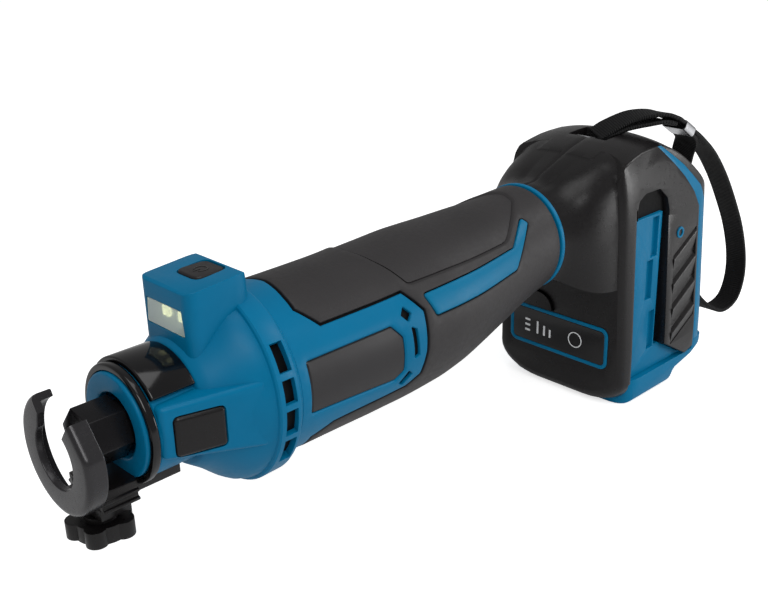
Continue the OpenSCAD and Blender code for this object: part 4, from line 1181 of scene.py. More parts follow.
    def core(self) -> None:
        """A near-black wall behind the grooves and vents: painted shade for the hollows there."""
        first, outer, inner = self.core_depths
        along, around = self.core_steps
        turns = [self.arc(a) for a in np.linspace(-90, 270, around)[:-1]]
        xs = np.linspace(self.front_x, self.rear_x, along)
        rows = [(x, outer if x > self.front_x else first) for x in xs]
        rows += [(x, inner) for x in xs[::-1]]
        rings = [[self.spot(x, s, depth) for s in turns] for x, depth in rows]
        place(Body().loft(rings + rings[:1], caps=False).build("grip_shade_wall"), RECESS_SHADE)

    def build(self) -> None:
        """Make the grip's pieces."""
        low, high = self.arc(-90), self.arc(270)
        edge = self.blue_edge(Side.NEAR) + self.blue_edge(Side.FAR)[::-1][1:]
        windows = {s: filleted(self.flat(self.window, s), self.window_round) for s in Side}
        trims = {s: turned_left(filleted(self.flat(self.trim, s), self.trim_rounds)) for s in Side}
        holes = [(windows[s], self.sunk_edge) for s in Side]
        vents = [filleted(self.flat(v, s), self.vent_round, 3) for s in Side for v in self.vents]
        holes += [(vent, self.vent_edge) for vent in vents]
        shell = edge + [(self.front_x, high), (self.front_x, low)]
        obj = self.patch("handle_shell_dress", shell, self.shell_edge, *self.shell_level, holes)
        place(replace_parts(obj, "handle_shell_left", "handle_shell_right"), BLUE)
        skin = turned_left(edge + [(self.rear_x, high), (self.rear_x, low)])
        skin = moved_in(resampled(skin, self.border_step), self.shell_gap)
        skin = [(min(x, self.rear_x), max(low, min(high, s))) for x, s in skin]
        palm = turned_left(self.palm_loop())
        holes = [(palm, self.ledge)]
        holes += [(moved_in(trims[s], -self.trim_gap), self.soft_edge) for s in Side]
        obj = self.patch("grip_skin", skin, self.soft_edge, *self.skin_level, holes)
        place(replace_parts(obj, "grip_left", "grip_right"), GRIP)
        outline = moved_in(palm, self.pad_gap)
        place(self.patch("palm_pad", outline, self.pad_edge, *self.pad_level), GRIP)
        for side, hand in ((Side.NEAR, "left"), (Side.FAR, "right")):
            label = side.name.lower()
            outline = moved_in(turned_left(windows[side]), self.window_gap)
            obj = self.patch(f"window_{label}", outline, self.window_edge, *self.window_level)
            place(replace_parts(obj, f"window_{hand}"), SMOKED)
            obj = self.patch(f"trim_{label}", trims[side], self.trim_edge, *self.trim_level)
            place(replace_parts(obj, f"trim_{hand}"), TRIM_BLUE)
        self.core()
        ring = Body().turn(oblong(*self.neck, self.neck_rounds, 4), 128, self.neck_z)
        place(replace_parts(ring.build("neck_ring_dress"), "neck_ring"), BLUE)
        keep_solids(STEEL, "handle_screws")


@dataclass
class RearBlock:
    """The black block behind the grip, with its blue band, rear cover, charge panel and latch."""

    neck_r: float = 20.3
    neck_z: float = 10.0
    neck_stations: tuple[float, ...] = (
        182.0, 183.0, 184.5, 186.5, 189.0, 191.5, 194.0, 196.5, 199.0, 201.5, 203.5, 205.3, 207.0)
    dome_stations: tuple[float, ...] = (209.0, 212.0, 216.0, 220.0)
    stations: tuple[float, ...] = (
        207.0, 207.3, 207.7, 208.2, 208.8, 209.6, 210.5, 213, 218, 223, 228, 233, 237, 240, 243,
        246, 249, 252, 255, 258, 260.3, 262.2, 264, 265.6, 267, 268.3, 269.5, 270.5, 271.3,
        271.9, 272.3)
    top: Profile = Profile((
        (207, 37.9), (213, 39.8), (220, 41.3), (226, 42.1), (236, 42.1), (242, 40.4), (247, 37.8),
        (254, 32.8), (262, 25.8), (267, 20.6), (270.5, 15.5), (272.3, 11.0)))
    half: Profile = Profile((
        (-66, 32.2), (-50, 32.2), (0, 30.2), (12, 29.7), (20, 29.1), (28, 28.0), (34, 26.6),
        (38.4, 24.8), (41, 23.2)))
    inset: Profile = Profile((
        (207, 2.5), (207.7, 1.5), (208.8, 0.75), (210.5, 0.25), (213, 0), (261.5, 0), (265, 0.5),
        (267.8, 1.9), (270, 4.2), (271.5, 7.2), (272.3, 11.0)))
    dome_inset: Profile = Profile(((207, 2.6), (209, 1.5), (212, 1.0), (225, 1.0)))
    sole: Profile = Profile(((207, 5.0), (207.7, 3.4), (208.8, 2.0), (210.5, 0.8), (213, 0.0)))
    flank_flare: Profile = Profile((
        (0, 0), (0.1, 0.15), (0.25, 0.44), (0.4, 0.66), (0.56, 0.82), (0.75, 0.93), (1, 1)))
    crown_flare: Profile = Profile((
        (0, 0), (0.28, 0.04), (0.52, 0.39), (0.72, 0.66), (0.92, 0.91), (1, 1)))
    crown_from: int = 22
    flare_z: float = 14.0
    edge_turn: float = 1.1
    edge_drop: float = 2.9
    dome_turn: float = 12.0
    dome_drop: float = 0.6
    dome_sink: float = 0.04
    turn_share: float = 0.9
    crown_power: float = 2.5
    flank_steps: int = 18
    turn_steps: int = 9
    crown_steps: int = 14
    soft: tuple[float, ...] = (2, 50, 34)
    shell_round: float = 0.45
    band_round: float = 0.35
    cover_round: float = 0.5
    seam: float = 0.35
    seam_end: float = 241.0
    foot_z: float = -66.0
    foot_round: Point2 = (20.0, 11.0)
    shoulder_foot: Points2 = (
        (0, -4.0), (2, -4.1), (4, -4.2), (6, -4.4), (8, -4.6), (10, -4.8), (12, -5.2), (14, -6.0))
    shoulder_z: float = -12.8
    chamfer: Points2 = (
        (190.0, 30.5), (207.2, 30.5), (208.6, 33.0), (214.5, 39.6), (214.5, 60.0), (190.0, 60.0))
    chamfer_y: float = 13.0
    front_part: Points2 = ((150, -120), (150, 90), (240, 90), (240, 38.9))
    rear_part: Points2 = ((300, -50.5), (300, 90), (240, 90), (240, 38.9))
    band_low: Points2 = (
        (234.6, 38.9), (250.0, 24.4), (257.0, 16.4), (260.8, 9.6), (260.8, -50.5))
    band_high: Points2 = (
        (266.4, -50.5), (266.4, 10.4), (261.6, 18.4), (250.0, 29.0), (236.8, 38.9))
    leg_low: Point2 = (260.8, -120)
    bay: Points2 = ((-26.4, -90), (26.4, -90), (26.4, 26), (19, 35), (-19, 35), (-26.4, 26))
    bay_x: Point2 = (213, 300)
    neck_bore: tuple[Point2, Point2] = ((-11, -1), (11, 21))
    bore_x: Point2 = (170, 214)
    arch_side: Points2 = (
        (216, 13.6), (216, -55.4), (213, -55.4), (213, -90), (290, -90), (290, -53), (262, -53),
        (255, -55), (249, -51.5), (238, -45), (238, 13.6))
    arch_bevel: Points2 = ((216.2, 27.9), (216.2, 34.0), (213.2, 34.0))
    bevel_z: Point2 = (-55.4, 18.0)
    guard: tuple[Point2, Point2] = ((100, -120), (209.6, 90))
    guard_half: float = 70.0
    hood: Points2 = (
        (216.3, 11.0), (216.3, 18.0), (217.4, 21.2), (222.0, 23.4), (232.0, 23.2), (237.0, 18.6),
        (238.4, 13.5), (238.4, 11.0))
    hood_rounds: tuple[float, ...] = (0, 2.0, 2.5, 3.0, 2.5, 3.0, 2.0, 0)
    hood_y: float = 27.1
    hood_floor: Point2 = (26.5, 27.2)
    floor_gap: float = 0.1
    panel_well: tuple[Point2, Point2] = ((-25.1, -49.1), (25.1, -30.9))
    panel_x: Point2 = (200, 208.2)
    panel_round: float = 3.6
    tab_centre: Point2 = (10.0, -30.4)
    tab_r: float = 7.7
    tab_x: Point2 = (203, 215)
    tab_room: tuple[Point2, Point2] = ((2.1, -47.2), (17.9, -32.0))
    tab_room_x: Point2 = (209.6, 214)
    strap_pocket: Points2 = ((220.5, 43.0), (225.0, 36.0), (233.6, 36.0), (233.6, 50), (220.5, 50))
    strap_half: float = 9.0
    louvre_x: Point2 = (242.8, 259.2)
    louvre_rise: float = 8.6
    louvre_z: float = -50.9
    louvre_pitch: float = 10.9
    louvre_starts: tuple[float, ...] = (4.1, 0.2, 0.2, 0.2)
    louvre_lip: Points2 = ((8.3, 0.38), (8.6, 0.45), (8.9, 0.38), (10.2, -0.95))
    louvre_slope: Point2 = (-0.85, 0.15)
    bed_z: Point2 = (-47.0, -7.4)
    bed_depth: Point2 = (6.0, -0.9)
    bed_gap: Point2 = (0.3, 0.15)
    mark_x: Point2 = (-0.12, 0.1)
    mark_z: float = -43.0
    mark_round: float = 0.2
    dashes: tuple[float, ...] = (-43.0, -40.6, -38.2)
    dash: Point3 = (15.7, 1.3, 0.9)
    bars: Points2 = ((10.4, 5.7), (6.9, 4.6), (3.9, 3.6))
    bar_half: float = 0.45
    ring_centre: Point2 = (-9.0, -40.0)
    ring_rows: Points2 = ((0.1, 3.5), (-0.12, 3.4), (-0.12, 3.05), (0.1, 2.95), (0.1, 3.5))

    def half_ring(self, x: float, low: Outline, dome: bool = False) -> Loop2:
        """One half of a section, from its foot to its crown.

        Args:
            x: Distance from the nose.
            low: The foot's points, ending where the flank begins.
            dome: Whether it is the soft dome or the block with its edges.

        Returns:
            (y, z) points with y at or over 0.
        """
        turn, drop = (self.dome_turn, self.dome_drop) if dome else (self.edge_turn, self.edge_drop)
        inset = (self.dome_inset if dome else self.inset).at(x)
        peak = self.top.at(x) - (self.dome_sink if dome else 0.0)
        edge = peak - drop
        inner = self.half.at(edge) - inset - self.turn_share * turn
        start = low[-1][1]
        points = list(low)
        for k in range(1, self.flank_steps + 1):
            z = start + (edge - turn - start) * k / self.flank_steps
            points.append((self.half.at(z) - inset, z))
        outer = points[-1][0]
        for k in range(1, self.turn_steps):
            a = math.radians(90 * k / self.turn_steps)
            points.append((inner + (outer - inner) * math.cos(a), edge - turn + turn * math.sin(a)))
        for k in range(self.crown_steps + 1):
            y = inner * (1 - k / self.crown_steps)
            points.append((y, edge + (peak - edge) * (1 - (y / inner) ** self.crown_power)))
        return points

    def ring(self, x: float, half: Outline, groove: float) -> list[Point3]:
        """A whole section from its half.

        Args:
            x: Distance from the nose.
            half: The half's (y, z) points.
            groove: Depth of the seam on the crown.

        Returns:
            The section's points.
        """
        right = [(x, y, z) for y, z in half[1:-1]]
        left = [(x, -y, z) for y, z in reversed(half[1:-1])]
        return [(x, 0.0, half[0][1])] + right + [(x, 0.0, half[-1][1] - groove)] + left

    def block_half(self, x: float) -> Loop2:
        """Half section of the block itself.

        Args:
            x: Distance from the nose.

        Returns:
            (y, z) points with y at or over 0.
        """
        low_z = self.foot_z + self.sole.at(x)
        across, tall = self.foot_round
        flat = self.half.at(low_z + tall) - self.inset.at(x) - across
        low = [(flat * k / 4, low_z) for k in range(5)]
        for a in (math.radians(90 * k / 8) for k in range(1, 9)):
            low.append((flat + across * math.sin(a), low_z + tall - tall * math.cos(a)))
        return self.half_ring(x, low)

    def shoulder_half(self, x: float) -> Loop2:
        """Half section of the dome from the block's front face on.

        Args:
            x: Distance from the nose.

        Returns:
            (y, z) points with y at or over 0.
        """
        foot, steps = list(self.shoulder_foot), 5
        (y0, z0), z1 = foot[-1], self.shoulder_z
        y1 = self.half.at(z1) - self.dome_inset.at(x)
        low = [(y0 + (y1 - y0) * k / steps, z0 + (z1 - z0) * k / steps)
               for k in range(1, steps + 1)]
        return self.half_ring(x, foot + low, True)

    def block(self, name: str) -> Thing:
        """The block with its edges, as a closed form.

        Args:
            name: Name of the piece that it becomes.

        Returns:
            The form.
        """
        rings = [self.ring(x, self.block_half(x), self.seam if x < self.seam_end else 0.0)
                 for x in self.stations]
        return Body().loft(rings).build(name)

    def dome(self) -> Thing:
        """The soft dome from the neck to the block.

        Returns:
            The dome.
        """
        first, last = self.neck_stations[0], self.neck_stations[-1]
        target, rings = self.shoulder_half(last), []
        for x in self.neck_stations:
            t = (x - first) / (last - first)
            flank, crown = self.flank_flare.at(t), self.crown_flare.at(t)
            half = []
            for i, (y, z) in enumerate(target):
                a = math.atan2(y, z - self.flare_z)
                start_y = self.neck_r * math.sin(a)
                start_z = self.neck_z + self.neck_r * math.cos(a)
                share = min(1.0, max(0.0, (i - self.crown_from) / self.crown_from))
                e = flank * (1 - share) + crown * share
                half.append((start_y + (y - start_y) * e, start_z + (z - start_z) * e))
            rings.append(self.ring(x, half, self.seam))
        rings += [self.ring(x, self.shoulder_half(x), self.seam) for x in self.dome_stations]
        return Body().loft(rings).build("dome")

    def slab(self, name: str, outline: Outline) -> Thing:
        """A prism of (x, z) points right across the tool."""
        return prism(name, Axis.Y, outline, -WIDE, WIDE)

    def hood_outline(self) -> Loop2:
        """Outline of the blind recess over a rail, as (x, z) points."""
        return filleted(self.hood, self.hood_rounds)

    def arch(self) -> Thing:
        """The arched slots in the flanks and the cut below the legs, clear of the front wall.

        Returns:
            The block that opens them.
        """
        body = Body().prism(Axis.Y, self.arch_side, -WIDE, WIDE)
        for side in Side:
            body.prism(Axis.Y, self.hood_outline(), *side.span(self.hood_y, WIDE))
            body.prism(Axis.Z, [(x, y * side.value) for x, y in self.arch_bevel], *self.bevel_z)
        obj = body.build("arch")
        guard = prism("guard", Axis.Y, oblong(*self.guard), -self.guard_half, self.guard_half)
        combine(obj, Cut.REMOVE, guard)
        return obj

    def small_cuts(self) -> Thing:
        """Pockets for the panel, the latch and the strap.

        Returns:
            The blocks that open them.
        """
        (y, z), r = self.tab_centre, self.tab_r
        turns = np.radians(range(0, 181, 9))
        arc = [(y + r * math.cos(a), z + r * math.sin(a)) for a in turns]
        body = Body().prism(Axis.X, oblong(*self.panel_well, self.panel_round, 6), *self.panel_x)
        body.prism(Axis.X, arc, *self.tab_x)
        body.prism(Axis.X, oblong(*self.tab_room), *self.tab_room_x)
        body.prism(Axis.Y, self.strap_pocket, -self.strap_half, self.strap_half)
        return body.build("small_cuts")

    def slanted(self, body: Body, places: Outline, side: Side, gap: Point2 = (0.0, 0.0)) -> None:
        """Add a bar that runs slanting up a flank.

        Args:
            body: What it is added to.
            places: (height, distance out of the flank) of each point at its front.
            side: Which flank.
            gap: How far it runs past its ends, along and up.
        """
        (front, rear), (along, up) = self.louvre_x, gap
        body.loft([[(x, side.value * (self.half.at(z + dz) + out), z + dz) for z, out in places]
                   for x, dz in ((front - along, -up), (rear + along, self.louvre_rise + up))])

    def louvre_bed(self) -> Thing:
        """Cutters for the shallow beds that the louvres stand in.

        Returns:
            The cutters.
        """
        body = Body()
        out, deep = self.bed_depth
        places = [(z, out) for z in self.bed_z]
        places += [(float(z), deep) for z in np.linspace(*self.bed_z, 9)[::-1]]
        for side in Side:
            self.slanted(body, places, side, self.bed_gap)
        return body.build("louvre_bed")

    def shells(self) -> None:
        """The two black shells, drawn as one skin with a seam on the crown."""
        dome = self.dome()
        obj = self.block("rear_shells")
        corner = Body()
        for side in Side:
            corner.prism(Axis.Y, self.chamfer, *side.span(self.chamfer_y, WIDE))
        combine(obj, Cut.REMOVE, corner.build("corner"))
        combine(obj, Cut.JOIN, dome)
        tidy(obj)
        front = [*self.front_part, *self.band_low[:-1], self.leg_low]
        combine(obj, Cut.KEEP, self.slab("front_part", front))
        bay = Body().prism(Axis.X, self.bay, *self.bay_x)
        bay.prism(Axis.X, oblong(*self.neck_bore), *self.bore_x)
        cutters = (bay.build("bay"), self.arch(), self.small_cuts(), self.louvre_bed())
        combine(obj, Cut.REMOVE, *cutters)
        tidy(obj)
        rounded(obj, self.shell_round, *self.soft)
        place(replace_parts(obj, "rear_shell_left", "rear_shell_right"), BLACK)

    def rear(self) -> None:
        """The blue band and the rear cover."""
        cover = [*reversed(self.band_high), *self.rear_part]
        for node, outline, width, finish in (
                ("rear_band", self.band_low + self.band_high, self.band_round, BLUE),
                ("rear_cover", cover, self.cover_round, BLACK)):
            obj = self.block(f"{node}_dress")
            combine(obj, Cut.KEEP, self.slab("part", outline))
            rounded(obj, width, *self.soft)
            place(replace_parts(obj, node), finish)

    def panel(self) -> None:
        """The charge panel: blue rim, glossy face and plain level marks."""
        softened("charge_bezel", "charge_rim", BLUE, 0.35, 2)
        softened("charge_panel", "charge_face", GLOSS, 0.25, 2)
        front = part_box("charge_panel")[0].x / MM
        y, half, tall = self.dash
        marks = [(y, half, z, z + tall) for z in self.dashes]
        marks += [(y, self.bar_half, self.mark_z, self.mark_z + tall) for y, tall in self.bars]
        body = Body()
        for y, half, low, high in marks:
            outline = oblong((y - half, low), (y + half, high), self.mark_round, 3)
            body.prism(Axis.X, outline, *(front + dx for dx in self.mark_x))
        y, z = self.ring_centre
        turns = round_angles(36)
        body.loft([[(front + dx, y + r * math.cos(a), z + r * math.sin(a)) for a in turns]
                   for dx, r in self.ring_rows], caps=False)
        place(body.build("charge_marks"), MARK)

    def flanks(self) -> None:
        """Louvred grips on the legs, the floors of the recesses in painted shade, and the boss
        rings.
        """
        louvres, floors = Body(), Body()
        floor = moved_in(turned_left(self.hood_outline()), self.floor_gap)
        level, slope = self.louvre_slope
        base = self.louvre_lip[-1][1]
        for side in Side:
            for k, first in enumerate(self.louvre_starts):
                low = self.louvre_z + self.louvre_pitch * k
                wedge = ((first, level + slope * first), *self.louvre_lip, (first, base))
                self.slanted(louvres, [(low + dz, out) for dz, out in wedge], side)
            floors.prism(Axis.Y, floor, *side.span(*self.hood_floor))
        place(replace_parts(louvres.build("side_louvres", 25), "side_grips"), BLACK)
        # The recess floors take the near-black finish: painted shade.
        place(floors.build("hood_shaded_floors"), RECESS_SHADE)
        softened("boss_rings", "boss_rings_dress", BLUE, 0.2, 2)

    def build(self) -> None:
        """Make the block's pieces."""
        self.shells()
        self.rear()
        self.panel()
        self.flanks()
        softened("latch_tab", "latch_dress", BLACK, 0.5, body="latch")
        keep_solids(BLACK, "terminal_block")
        keep_solids(COPPER, "terminal_blades")
        keep_solids(STEEL, "latch_pin", "boss_screws")


@dataclass
class BatteryPack:
    """The blue pack: case, base and what is inside."""

    body: str = "battery_pack"
    base_half: float = 31.0
    base_side: Points2 = (
        (213.4, -66.2), (244.4, -66.2), (246.2, -64.9), (248.2, -61.7), (250.0, -60.4),
        (262.0, -58.0), (268.0, -55.0), (272.2, -51.3), (272.2, -50.9), (262.4, -50.9),
        (262.4, -55.9), (213.4, -55.9))
    base_x: Point2 = (213.4, 272.2)
    base_soft: tuple[float, ...] = (0.6, 3, 40)
    section_rounds: tuple[float, ...] = (3.6, 3.6, 0, 0)
    section_x: Point2 = (200, 290)
    plan_rounds: tuple[float, ...] = (10, 6, 6, 10)
    plan_z: Point2 = (-90, 0)

    def build(self) -> None:
        """Dress the pack."""
        softened("battery_case", "pack_case", BLUE, 0.45, 2, self.body)
        half, (front, rear) = self.base_half, self.base_x
        obj = prism("pack_base", Axis.Y, self.base_side, -half, half)
        section = oblong((-half, self.base_side[0][1]), (half, 0), self.section_rounds, 6)
        combine(obj, Cut.KEEP, prism("base_section", Axis.X, section, *self.section_x))
        plan = oblong((front, -half), (rear, half), self.plan_rounds, 8)
        combine(obj, Cut.KEEP, prism("base_plan", Axis.Z, plan, *self.plan_z))
        tidy(obj)
        rounded(obj, *self.base_soft)
        place(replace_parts(obj, "battery_base"), BLUE, self.body)
        keep_solids(CELL, "battery_cells")
        keep_solids(BLACK, "cell_holder")
        keep_solids(CIRCUIT, "battery_board")


@dataclass
class DepthGuide:
    """The C-shaped foot on its bar, the bracket under the nose and the clamp knob."""

    front_x: float = -19.6
    rear_x: float = -13.4
    centre_z: float = -2.0
    outer_r: float = 18.2
    hole_r: float = 10.0
    ends: Point2 = (119.0, 412.0)
    steps: int = 118
    facet: Point2 = (399.0, 16.7)
    facet_reach: float = 30.0
    plate: float = 2.3
    taper: Point3 = (141.0, 2.8, 1.5)
    rounds: tuple[float, ...] = (0.4, 2.0, 0.6, 0.4, 0.3, 0.4)
    bar: tuple[Point2, Point2] = ((-4.8, -17.9), (4.8, -15.3))
    bar_x: Point2 = (-18.5, 12.0)
    bar_round: float = 0.3
    knob_h: float = 5.3
    knob_fill: float = 0.84
    knob_soft: tuple[float, ...] = (0.7, 4)

    def foot_ring(self, angle: float) -> list[Point3]:
        """A section of the foot: a plate with a skirt round its rim.

        Args:
            angle: Where on the foot, in degrees.

        Returns:
            The section's points.
        """
        turn = math.radians(angle)
        facet_angle, facet_r = self.facet
        lean = math.cos(math.radians(min(self.facet_reach, abs(angle - facet_angle))))
        outer = min(self.outer_r, facet_r / lean)
        start, widening, power = self.taper
        hole = self.hole_r + widening * max(0.0, (start - angle) / (start - self.ends[0])) ** power
        back, skirt = self.front_x + self.plate, outer - self.plate
        section = filleted([(self.front_x, hole), (self.front_x, outer), (self.rear_x, outer),
                            (self.rear_x, skirt), (back, skirt), (back, hole)], self.rounds)
        return [(x, -r * math.cos(turn), self.centre_z + r * math.sin(turn)) for x, r in section]

    def knob(self) -> None:
        """The clamp knob, filled up to a star."""
        obj = copied("clamp_knob", "clamp_knob_dress")
        low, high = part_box("clamp_knob")
        reach = self.knob_fill * (high.y - low.y) / 2 / MM
        mid_x, low_z = (low.x + high.x) / 2 / MM, low.z / MM
        circle = [(mid_x + reach * math.cos(a), reach * math.sin(a)) for a in round_angles(60)]
        combine(obj, Cut.JOIN, prism("knob_fill", Axis.Z, circle, low_z, low_z + self.knob_h))
        tidy(obj)
        rounded(obj, *self.knob_soft)
        place(obj, BLACK, "clamp")

    def build(self) -> None:
        """Make the guide's pieces."""
        angles = np.linspace(*self.ends, self.steps)
        obj = Body().loft([self.foot_ring(a) for a in angles]).build("depth_foot_dress")
        bar = oblong(*self.bar, self.bar_round, 2)
        combine(obj, Cut.JOIN, prism("foot_bar", Axis.X, bar, *self.bar_x))
        tidy(obj)
        shade(obj, 34)
        place(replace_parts(obj, "depth_foot"), FOOT_STEEL, "depth_guide")
        softened("depth_bracket", "depth_bracket_dress", BLACK, 0.4, 2)
        self.knob()


@dataclass
class Drive:
    """Spindle, collet, motor and boards: mostly hidden, so they keep their solids."""

    springs: tuple[tuple[str, str, Point3, float], ...] = (
        ("power_spring", "power_press", (0, 0, -1), 1.5),
        ("lock_spring", "lock_press", (0, 1, 0), 2.4))

    def spring(self, node: str, joint: str, way: Point3, travel: float) -> None:
        """Show a spring as a steel copy of its solid.

        Args:
            node: The spring's node.
            joint: The button's joint; not used.
            way: The direction in which the button moves; not used.
            travel: How far it moves; not used.
        """
        obj = place(copied(node, f"{node}_dress"), STEEL)
        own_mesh(obj)

    def build(self) -> None:
        """Dress the drive."""
        softened("collet_nut", "collet_nut_dress", NUT_STEEL, 0.5, body="spindle_group")
        keep_solids(NUT_STEEL, "spindle")
        keep_solids(STEEL, "collet", "lock_collar", "lock_pin", "bearing_inner_rings",
                    "bearing_balls_set", "bearing_outer_rings")
        keep_solids(FAN, "cooling_fan")
        keep_solids(CORE, "rotor_core", "rotor_magnets", "stator_core")
        keep_solids(COPPER, "stator_windings")
        keep_solids(CIRCUIT, "hall_board", "control_board")
        keep_solids(CELL, "board_capacitor")
        keep_solids(BLACK, "power_switch")
        for spring in self.springs:
            self.spring(*spring)


@dataclass
class WristStrap:
    """The woven strap: from the anchor bar through the ferrule and round its loop."""

    width: float = 10.0
    thick: float = 1.6
    corner: float = 0.3
    route: Points3 = (
        (227.5, 0, 41), (233, -3, 44.4), (241, -8, 47.6), (248, -14, 48.3), (253, -17.4, 46.5),
        (256.8, -18, 44.2), (264.5, -18, 39.4), (272, -18, 34.6), (283, -18, 26),
        (294, -18, 14), (304, -18, 0), (313, -18, -15), (318.7, -18, -30), (319.5, -18, -42),
        (314.8, -18, -51), (306, -17, -54), (298, -15, -51), (290, -12, -43), (284, -9, -30),
        (281, -7.5, -12), (279.5, -8, 5), (276.5, -10, 19), (272.5, -13.4, 28),
        (268.2, -17, 34.0), (263.6, -18, 37.8), (257.4, -18, 41.7))
    fold: Points3 = (
        (229.5, -1, 41.0), (236, -5, 43.6), (243, -10.5, 45.0), (249, -15, 45.3),
        (254, -17.6, 43.6))
    ferrule_mid: Point3 = (259.95, -18.0, 41.2)
    ferrule_way: Point3 = (0.849, 0.0, -0.529)
    ferrule_size: Point3 = (8.0, 10.9, 4.2)
    ferrule_wall: float = 0.35
    ferrule_round: float = 1.2
    ferrule_part: tuple[Point2, Point2] = ((245, 0), (300, 80))
    weave_scale: float = 0.01

    def smooth(self, route: Sequence[Point3], parts: int = 6) -> list[Vector]:
        """A smooth line through a route.

        Args:
            route: The places it goes through.
            parts: Points for each stretch.

        Returns:
            The line's points.
        """
        knots = [Vector(p) for p in route]
        knots = [2 * knots[0] - knots[1]] + knots + [2 * knots[-1] - knots[-2]]
        line: list[Vector] = []
        for i in range(1, len(knots) - 2):
            a, b, c, d = knots[i - 1:i + 3]
            square, cube = 2 * a - 5 * b + 4 * c - d, 3 * b - a - 3 * c + d
            for t in (k / parts for k in range(parts)):
                line.append(0.5 * (2 * b + (c - a) * t + square * t**2 + cube * t**3))
        return line + [knots[-2]]

    def ferrule(self) -> Thing:
        """The flat metal sleeve that joins the strands.

        Returns:
            The sleeve.
        """
        way, across = Vector(self.ferrule_way), Vector((0, 1, 0))
        up = Vector((-way.z, 0, way.x))
        long, wide, tall = (v / 2 for v in self.ferrule_size)
        outer = turned_left(oblong((-wide, -tall), (wide, tall), self.ferrule_round, 4))
        inner = moved_in(outer, self.ferrule_wall)
        rings = []
        ends = ((outer, -long), (outer, long), (inner, long), (inner, -long), (outer, -long))
        for outline, run in ends:
            middle = Vector(self.ferrule_mid) + way * run
            rings.append([tuple(middle + across * a + up * b) for a, b in outline])
        return Body().loft(rings, caps=False).build("strap_ferrule", 40)

    def ribbon(self, route: Sequence[Point3], name: str) -> tuple[Thing, list[Vector], float]:
        """A flat strip along a route.

        Args:
            route: The places it goes through.
            name: Its name.

        Returns:
            The strip, its middle line and its length.
        """
        line = self.smooth(route)
        rings, lengths, run = [], [], 0.0
        half, thick, c = self.width / 2, self.thick / 2, self.corner
        section = [(-half + c, -thick), (half - c, -thick), (half, -c), (half, c),
                   (half - c, thick), (-half + c, thick), (-half, c), (-half, -c)]
        for i, p in enumerate(line):
            way = (line[min(i + 1, len(line) - 1)] - line[max(i - 1, 0)]).normalized()
            up = way.cross(Vector((0, 1, 0))).normalized()
            across = up.cross(way)
            rings.append([tuple(p + across * a + up * b) for a, b in section])
            run += (p - line[i - 1]).length if i else 0.0
            lengths.append(run)
        obj = Body().loft(rings).build(name, 40)
        self.unwrap(obj, line, lengths)
        return obj, line, run

    def unwrap(self, obj: Thing, line: Sequence[Vector], lengths: Sequence[float]) -> None:
        """Lay the strap's length and width out for its weave.

        Args:
            obj: The strap.
            line: Its middle line.
            lengths: Length run at each point of the line.
        """
        spots = np.array([tuple(p) for p in line]) * MM
        layer = obj.data.uv_layers.new(name="weave")
        where = {}
        for v in obj.data.vertices:
            i = int(np.argmin(np.linalg.norm(spots - np.array(v.co), axis=1)))
            where[v.index] = (lengths[i] * self.weave_scale, v.co.y / (self.width * MM))
        for loop in obj.data.loops:
            layer.data[loop.index].uv = where[loop.vertex_index]

    def build(self) -> None:
        """Make the strap, its fold at the anchor and its ferrule."""
        obj, line, run = self.ribbon(self.route, "wrist_strap_dress")
        place(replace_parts(obj, "wrist_strap"), STRAP)
        fold = place(self.ribbon(self.fold, "strap_fold")[0], STRAP)
        bar = copied("strap_hardware", "strap_anchor")
        combine(bar, Cut.REMOVE, prism("part", Axis.Y, oblong(*self.ferrule_part), -WIDE, WIDE))
        place(bar, STEEL)
        sleeve = place(self.ferrule(), STEEL)


@dataclass(frozen=True)
class Lamp:
    """A soft rectangular lamp: its place, aim, size and power in watts."""

    name: str
    spot: Point3
    aim: Point3
    size: Point2
    power: float

    def build(self) -> None:
        """Make the lamp."""
        data = bpy.data.lights.new(self.name, "AREA")
        data.shape = "RECTANGLE"
        data.size, data.size_y = (side * MM for side in self.size)
        data.energy = self.power
        obj = linked(self.name, data)
        spot, aim = Vector(self.spot) * MM, Vector(self.aim) * MM
        obj.location = spot
        obj.rotation_euler = (spot - aim).to_track_quat("Z", "Y").to_euler()


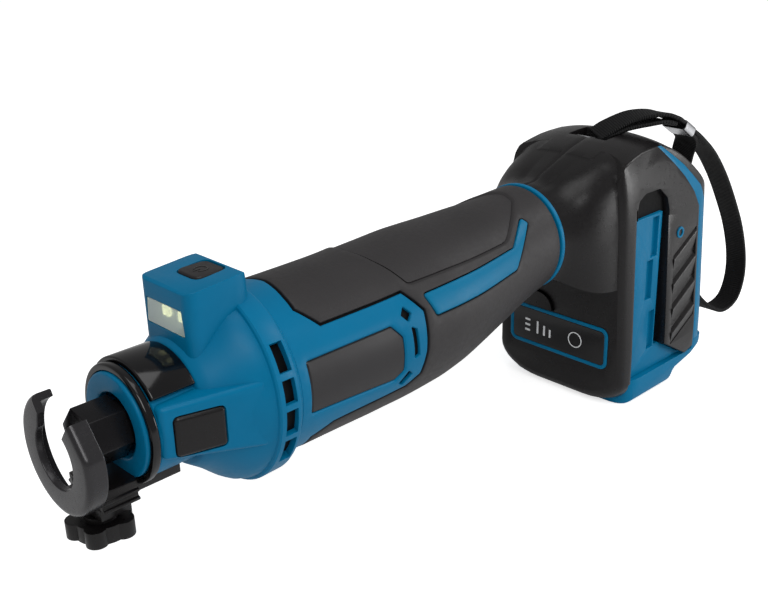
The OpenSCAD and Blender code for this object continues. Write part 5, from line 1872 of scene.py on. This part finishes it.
@dataclass
class Studio:
    """Floor, soft light and the camera at the photograph's angle."""

    azimuth: float = -43.5
    elevation: float = 22.4
    roll: float = -1.6
    eye: Point3 = (-134.6, -254.9, 151.5)
    focal: float = 1100.0
    image_w: float = 768.0
    sensor: float = 36.0
    near_clip: float = 0.01
    floor_z: float = -66.6
    floor_reach: float = 4000.0
    floor_lift: float = 0.7
    floor_tints: tuple[tuple[float, ...], ...] = ((0.90, 0.90, 0.905, 1), (0.92, 0.92, 0.92, 1))
    floor_noise: float = 3.0
    world_light: float = 0.34
    lamps: tuple[Lamp, ...] = (
        Lamp("key", (-250, -520, 620), (110, 0, 0), (420, 420), 3.0),
        Lamp("side", (585, -455, 50), (200, 0, 10), (180, 180), 0.9),
        Lamp("rear", (634, -247, 365), (230, 0, 0), (200, 200), 0.7),
        Lamp("over", (90, -60, 700), (130, 0, 0), (420, 360), 1.0))

    def camera(self) -> None:
        """Make the camera."""
        a, e, t = (math.radians(v) for v in (self.azimuth, self.elevation, self.roll))
        right = Vector((math.cos(a), math.sin(a), 0))
        back = Vector((math.sin(a) * math.cos(e), -math.cos(a) * math.cos(e), math.sin(e)))
        up = back.cross(right)
        right, up = math.cos(t) * right + math.sin(t) * up, math.cos(t) * up - math.sin(t) * right
        data = bpy.data.cameras.new("view")
        data.sensor_width = self.sensor
        data.lens = self.focal / self.image_w * self.sensor
        data.clip_start = self.near_clip
        obj = linked("view", data)
        obj.matrix_world = Matrix((*zip(right, up, back, Vector(self.eye) * MM), (0, 0, 0, 1)))
        bpy.context.scene.camera = obj

    def floor(self) -> None:
        """Make the pale floor, which the pack stands on at every pose."""
        far = self.floor_reach
        corners = [(x, y, self.floor_z) for x, y in oblong((-far, -far), (far, far))]
        obj = Body().add(corners, [(0, 1, 2, 3)]).build("floor")
        nodes = Nodes("pale_floor")
        tint = nodes.blend(nodes.spread(nodes.noise(self.floor_noise), 0, 1), *self.floor_tints)
        nodes.link(tint, nodes.shader["Base Color"])
        nodes.set(Roughness=0.8, Specular_IOR_Level=0.1, Emission_Color=(1, 1, 1, 1))
        lift = nodes.add("Math")
        lift.operation = "MULTIPLY"
        lift.inputs[1].default_value = self.floor_lift
        nodes.link(nodes.add("LightPath").outputs["Is Camera Ray"], lift.inputs[0])
        nodes.link(lift.outputs[0], nodes.shader["Emission Strength"])
        obj.data.materials.append(nodes.material)
        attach(obj, "battery_pack")

    def build(self) -> None:
        """Make the studio."""
        scene = bpy.context.scene
        scene.view_settings.view_transform = "Standard"
        scene.world = bpy.data.worlds.new("studio")
        scene.world.use_nodes = True
        tree = scene.world.node_tree
        back = tree.nodes["Background"]
        back.inputs["Color"].default_value = (1, 1, 1, 1)
        rays, pick = (tree.nodes.new(f"ShaderNode{kind}") for kind in ("LightPath", "Mix"))
        pick.inputs[2].default_value = self.world_light
        pick.inputs[3].default_value = 1.0
        tree.links.new(rays.outputs["Is Camera Ray"], pick.inputs[0])
        tree.links.new(pick.outputs[0], back.inputs["Strength"])
        self.camera()
        self.floor()
        for lamp in self.lamps:
            lamp.build()


def main() -> None:
    """Build the studio and every sub-assembly."""
    logging.basicConfig(level=logging.INFO, format="%(name)s: %(message)s")
    parts = (Studio(), WristStrap(), Nose(), FrontHousing(), Handle(), RearBlock(),
             BatteryPack(), DepthGuide(), Drive())
    for part in parts:
        part.build()
        LOG.info("%s is dressed", type(part).__name__)


if __name__ == "__main__":
    main()
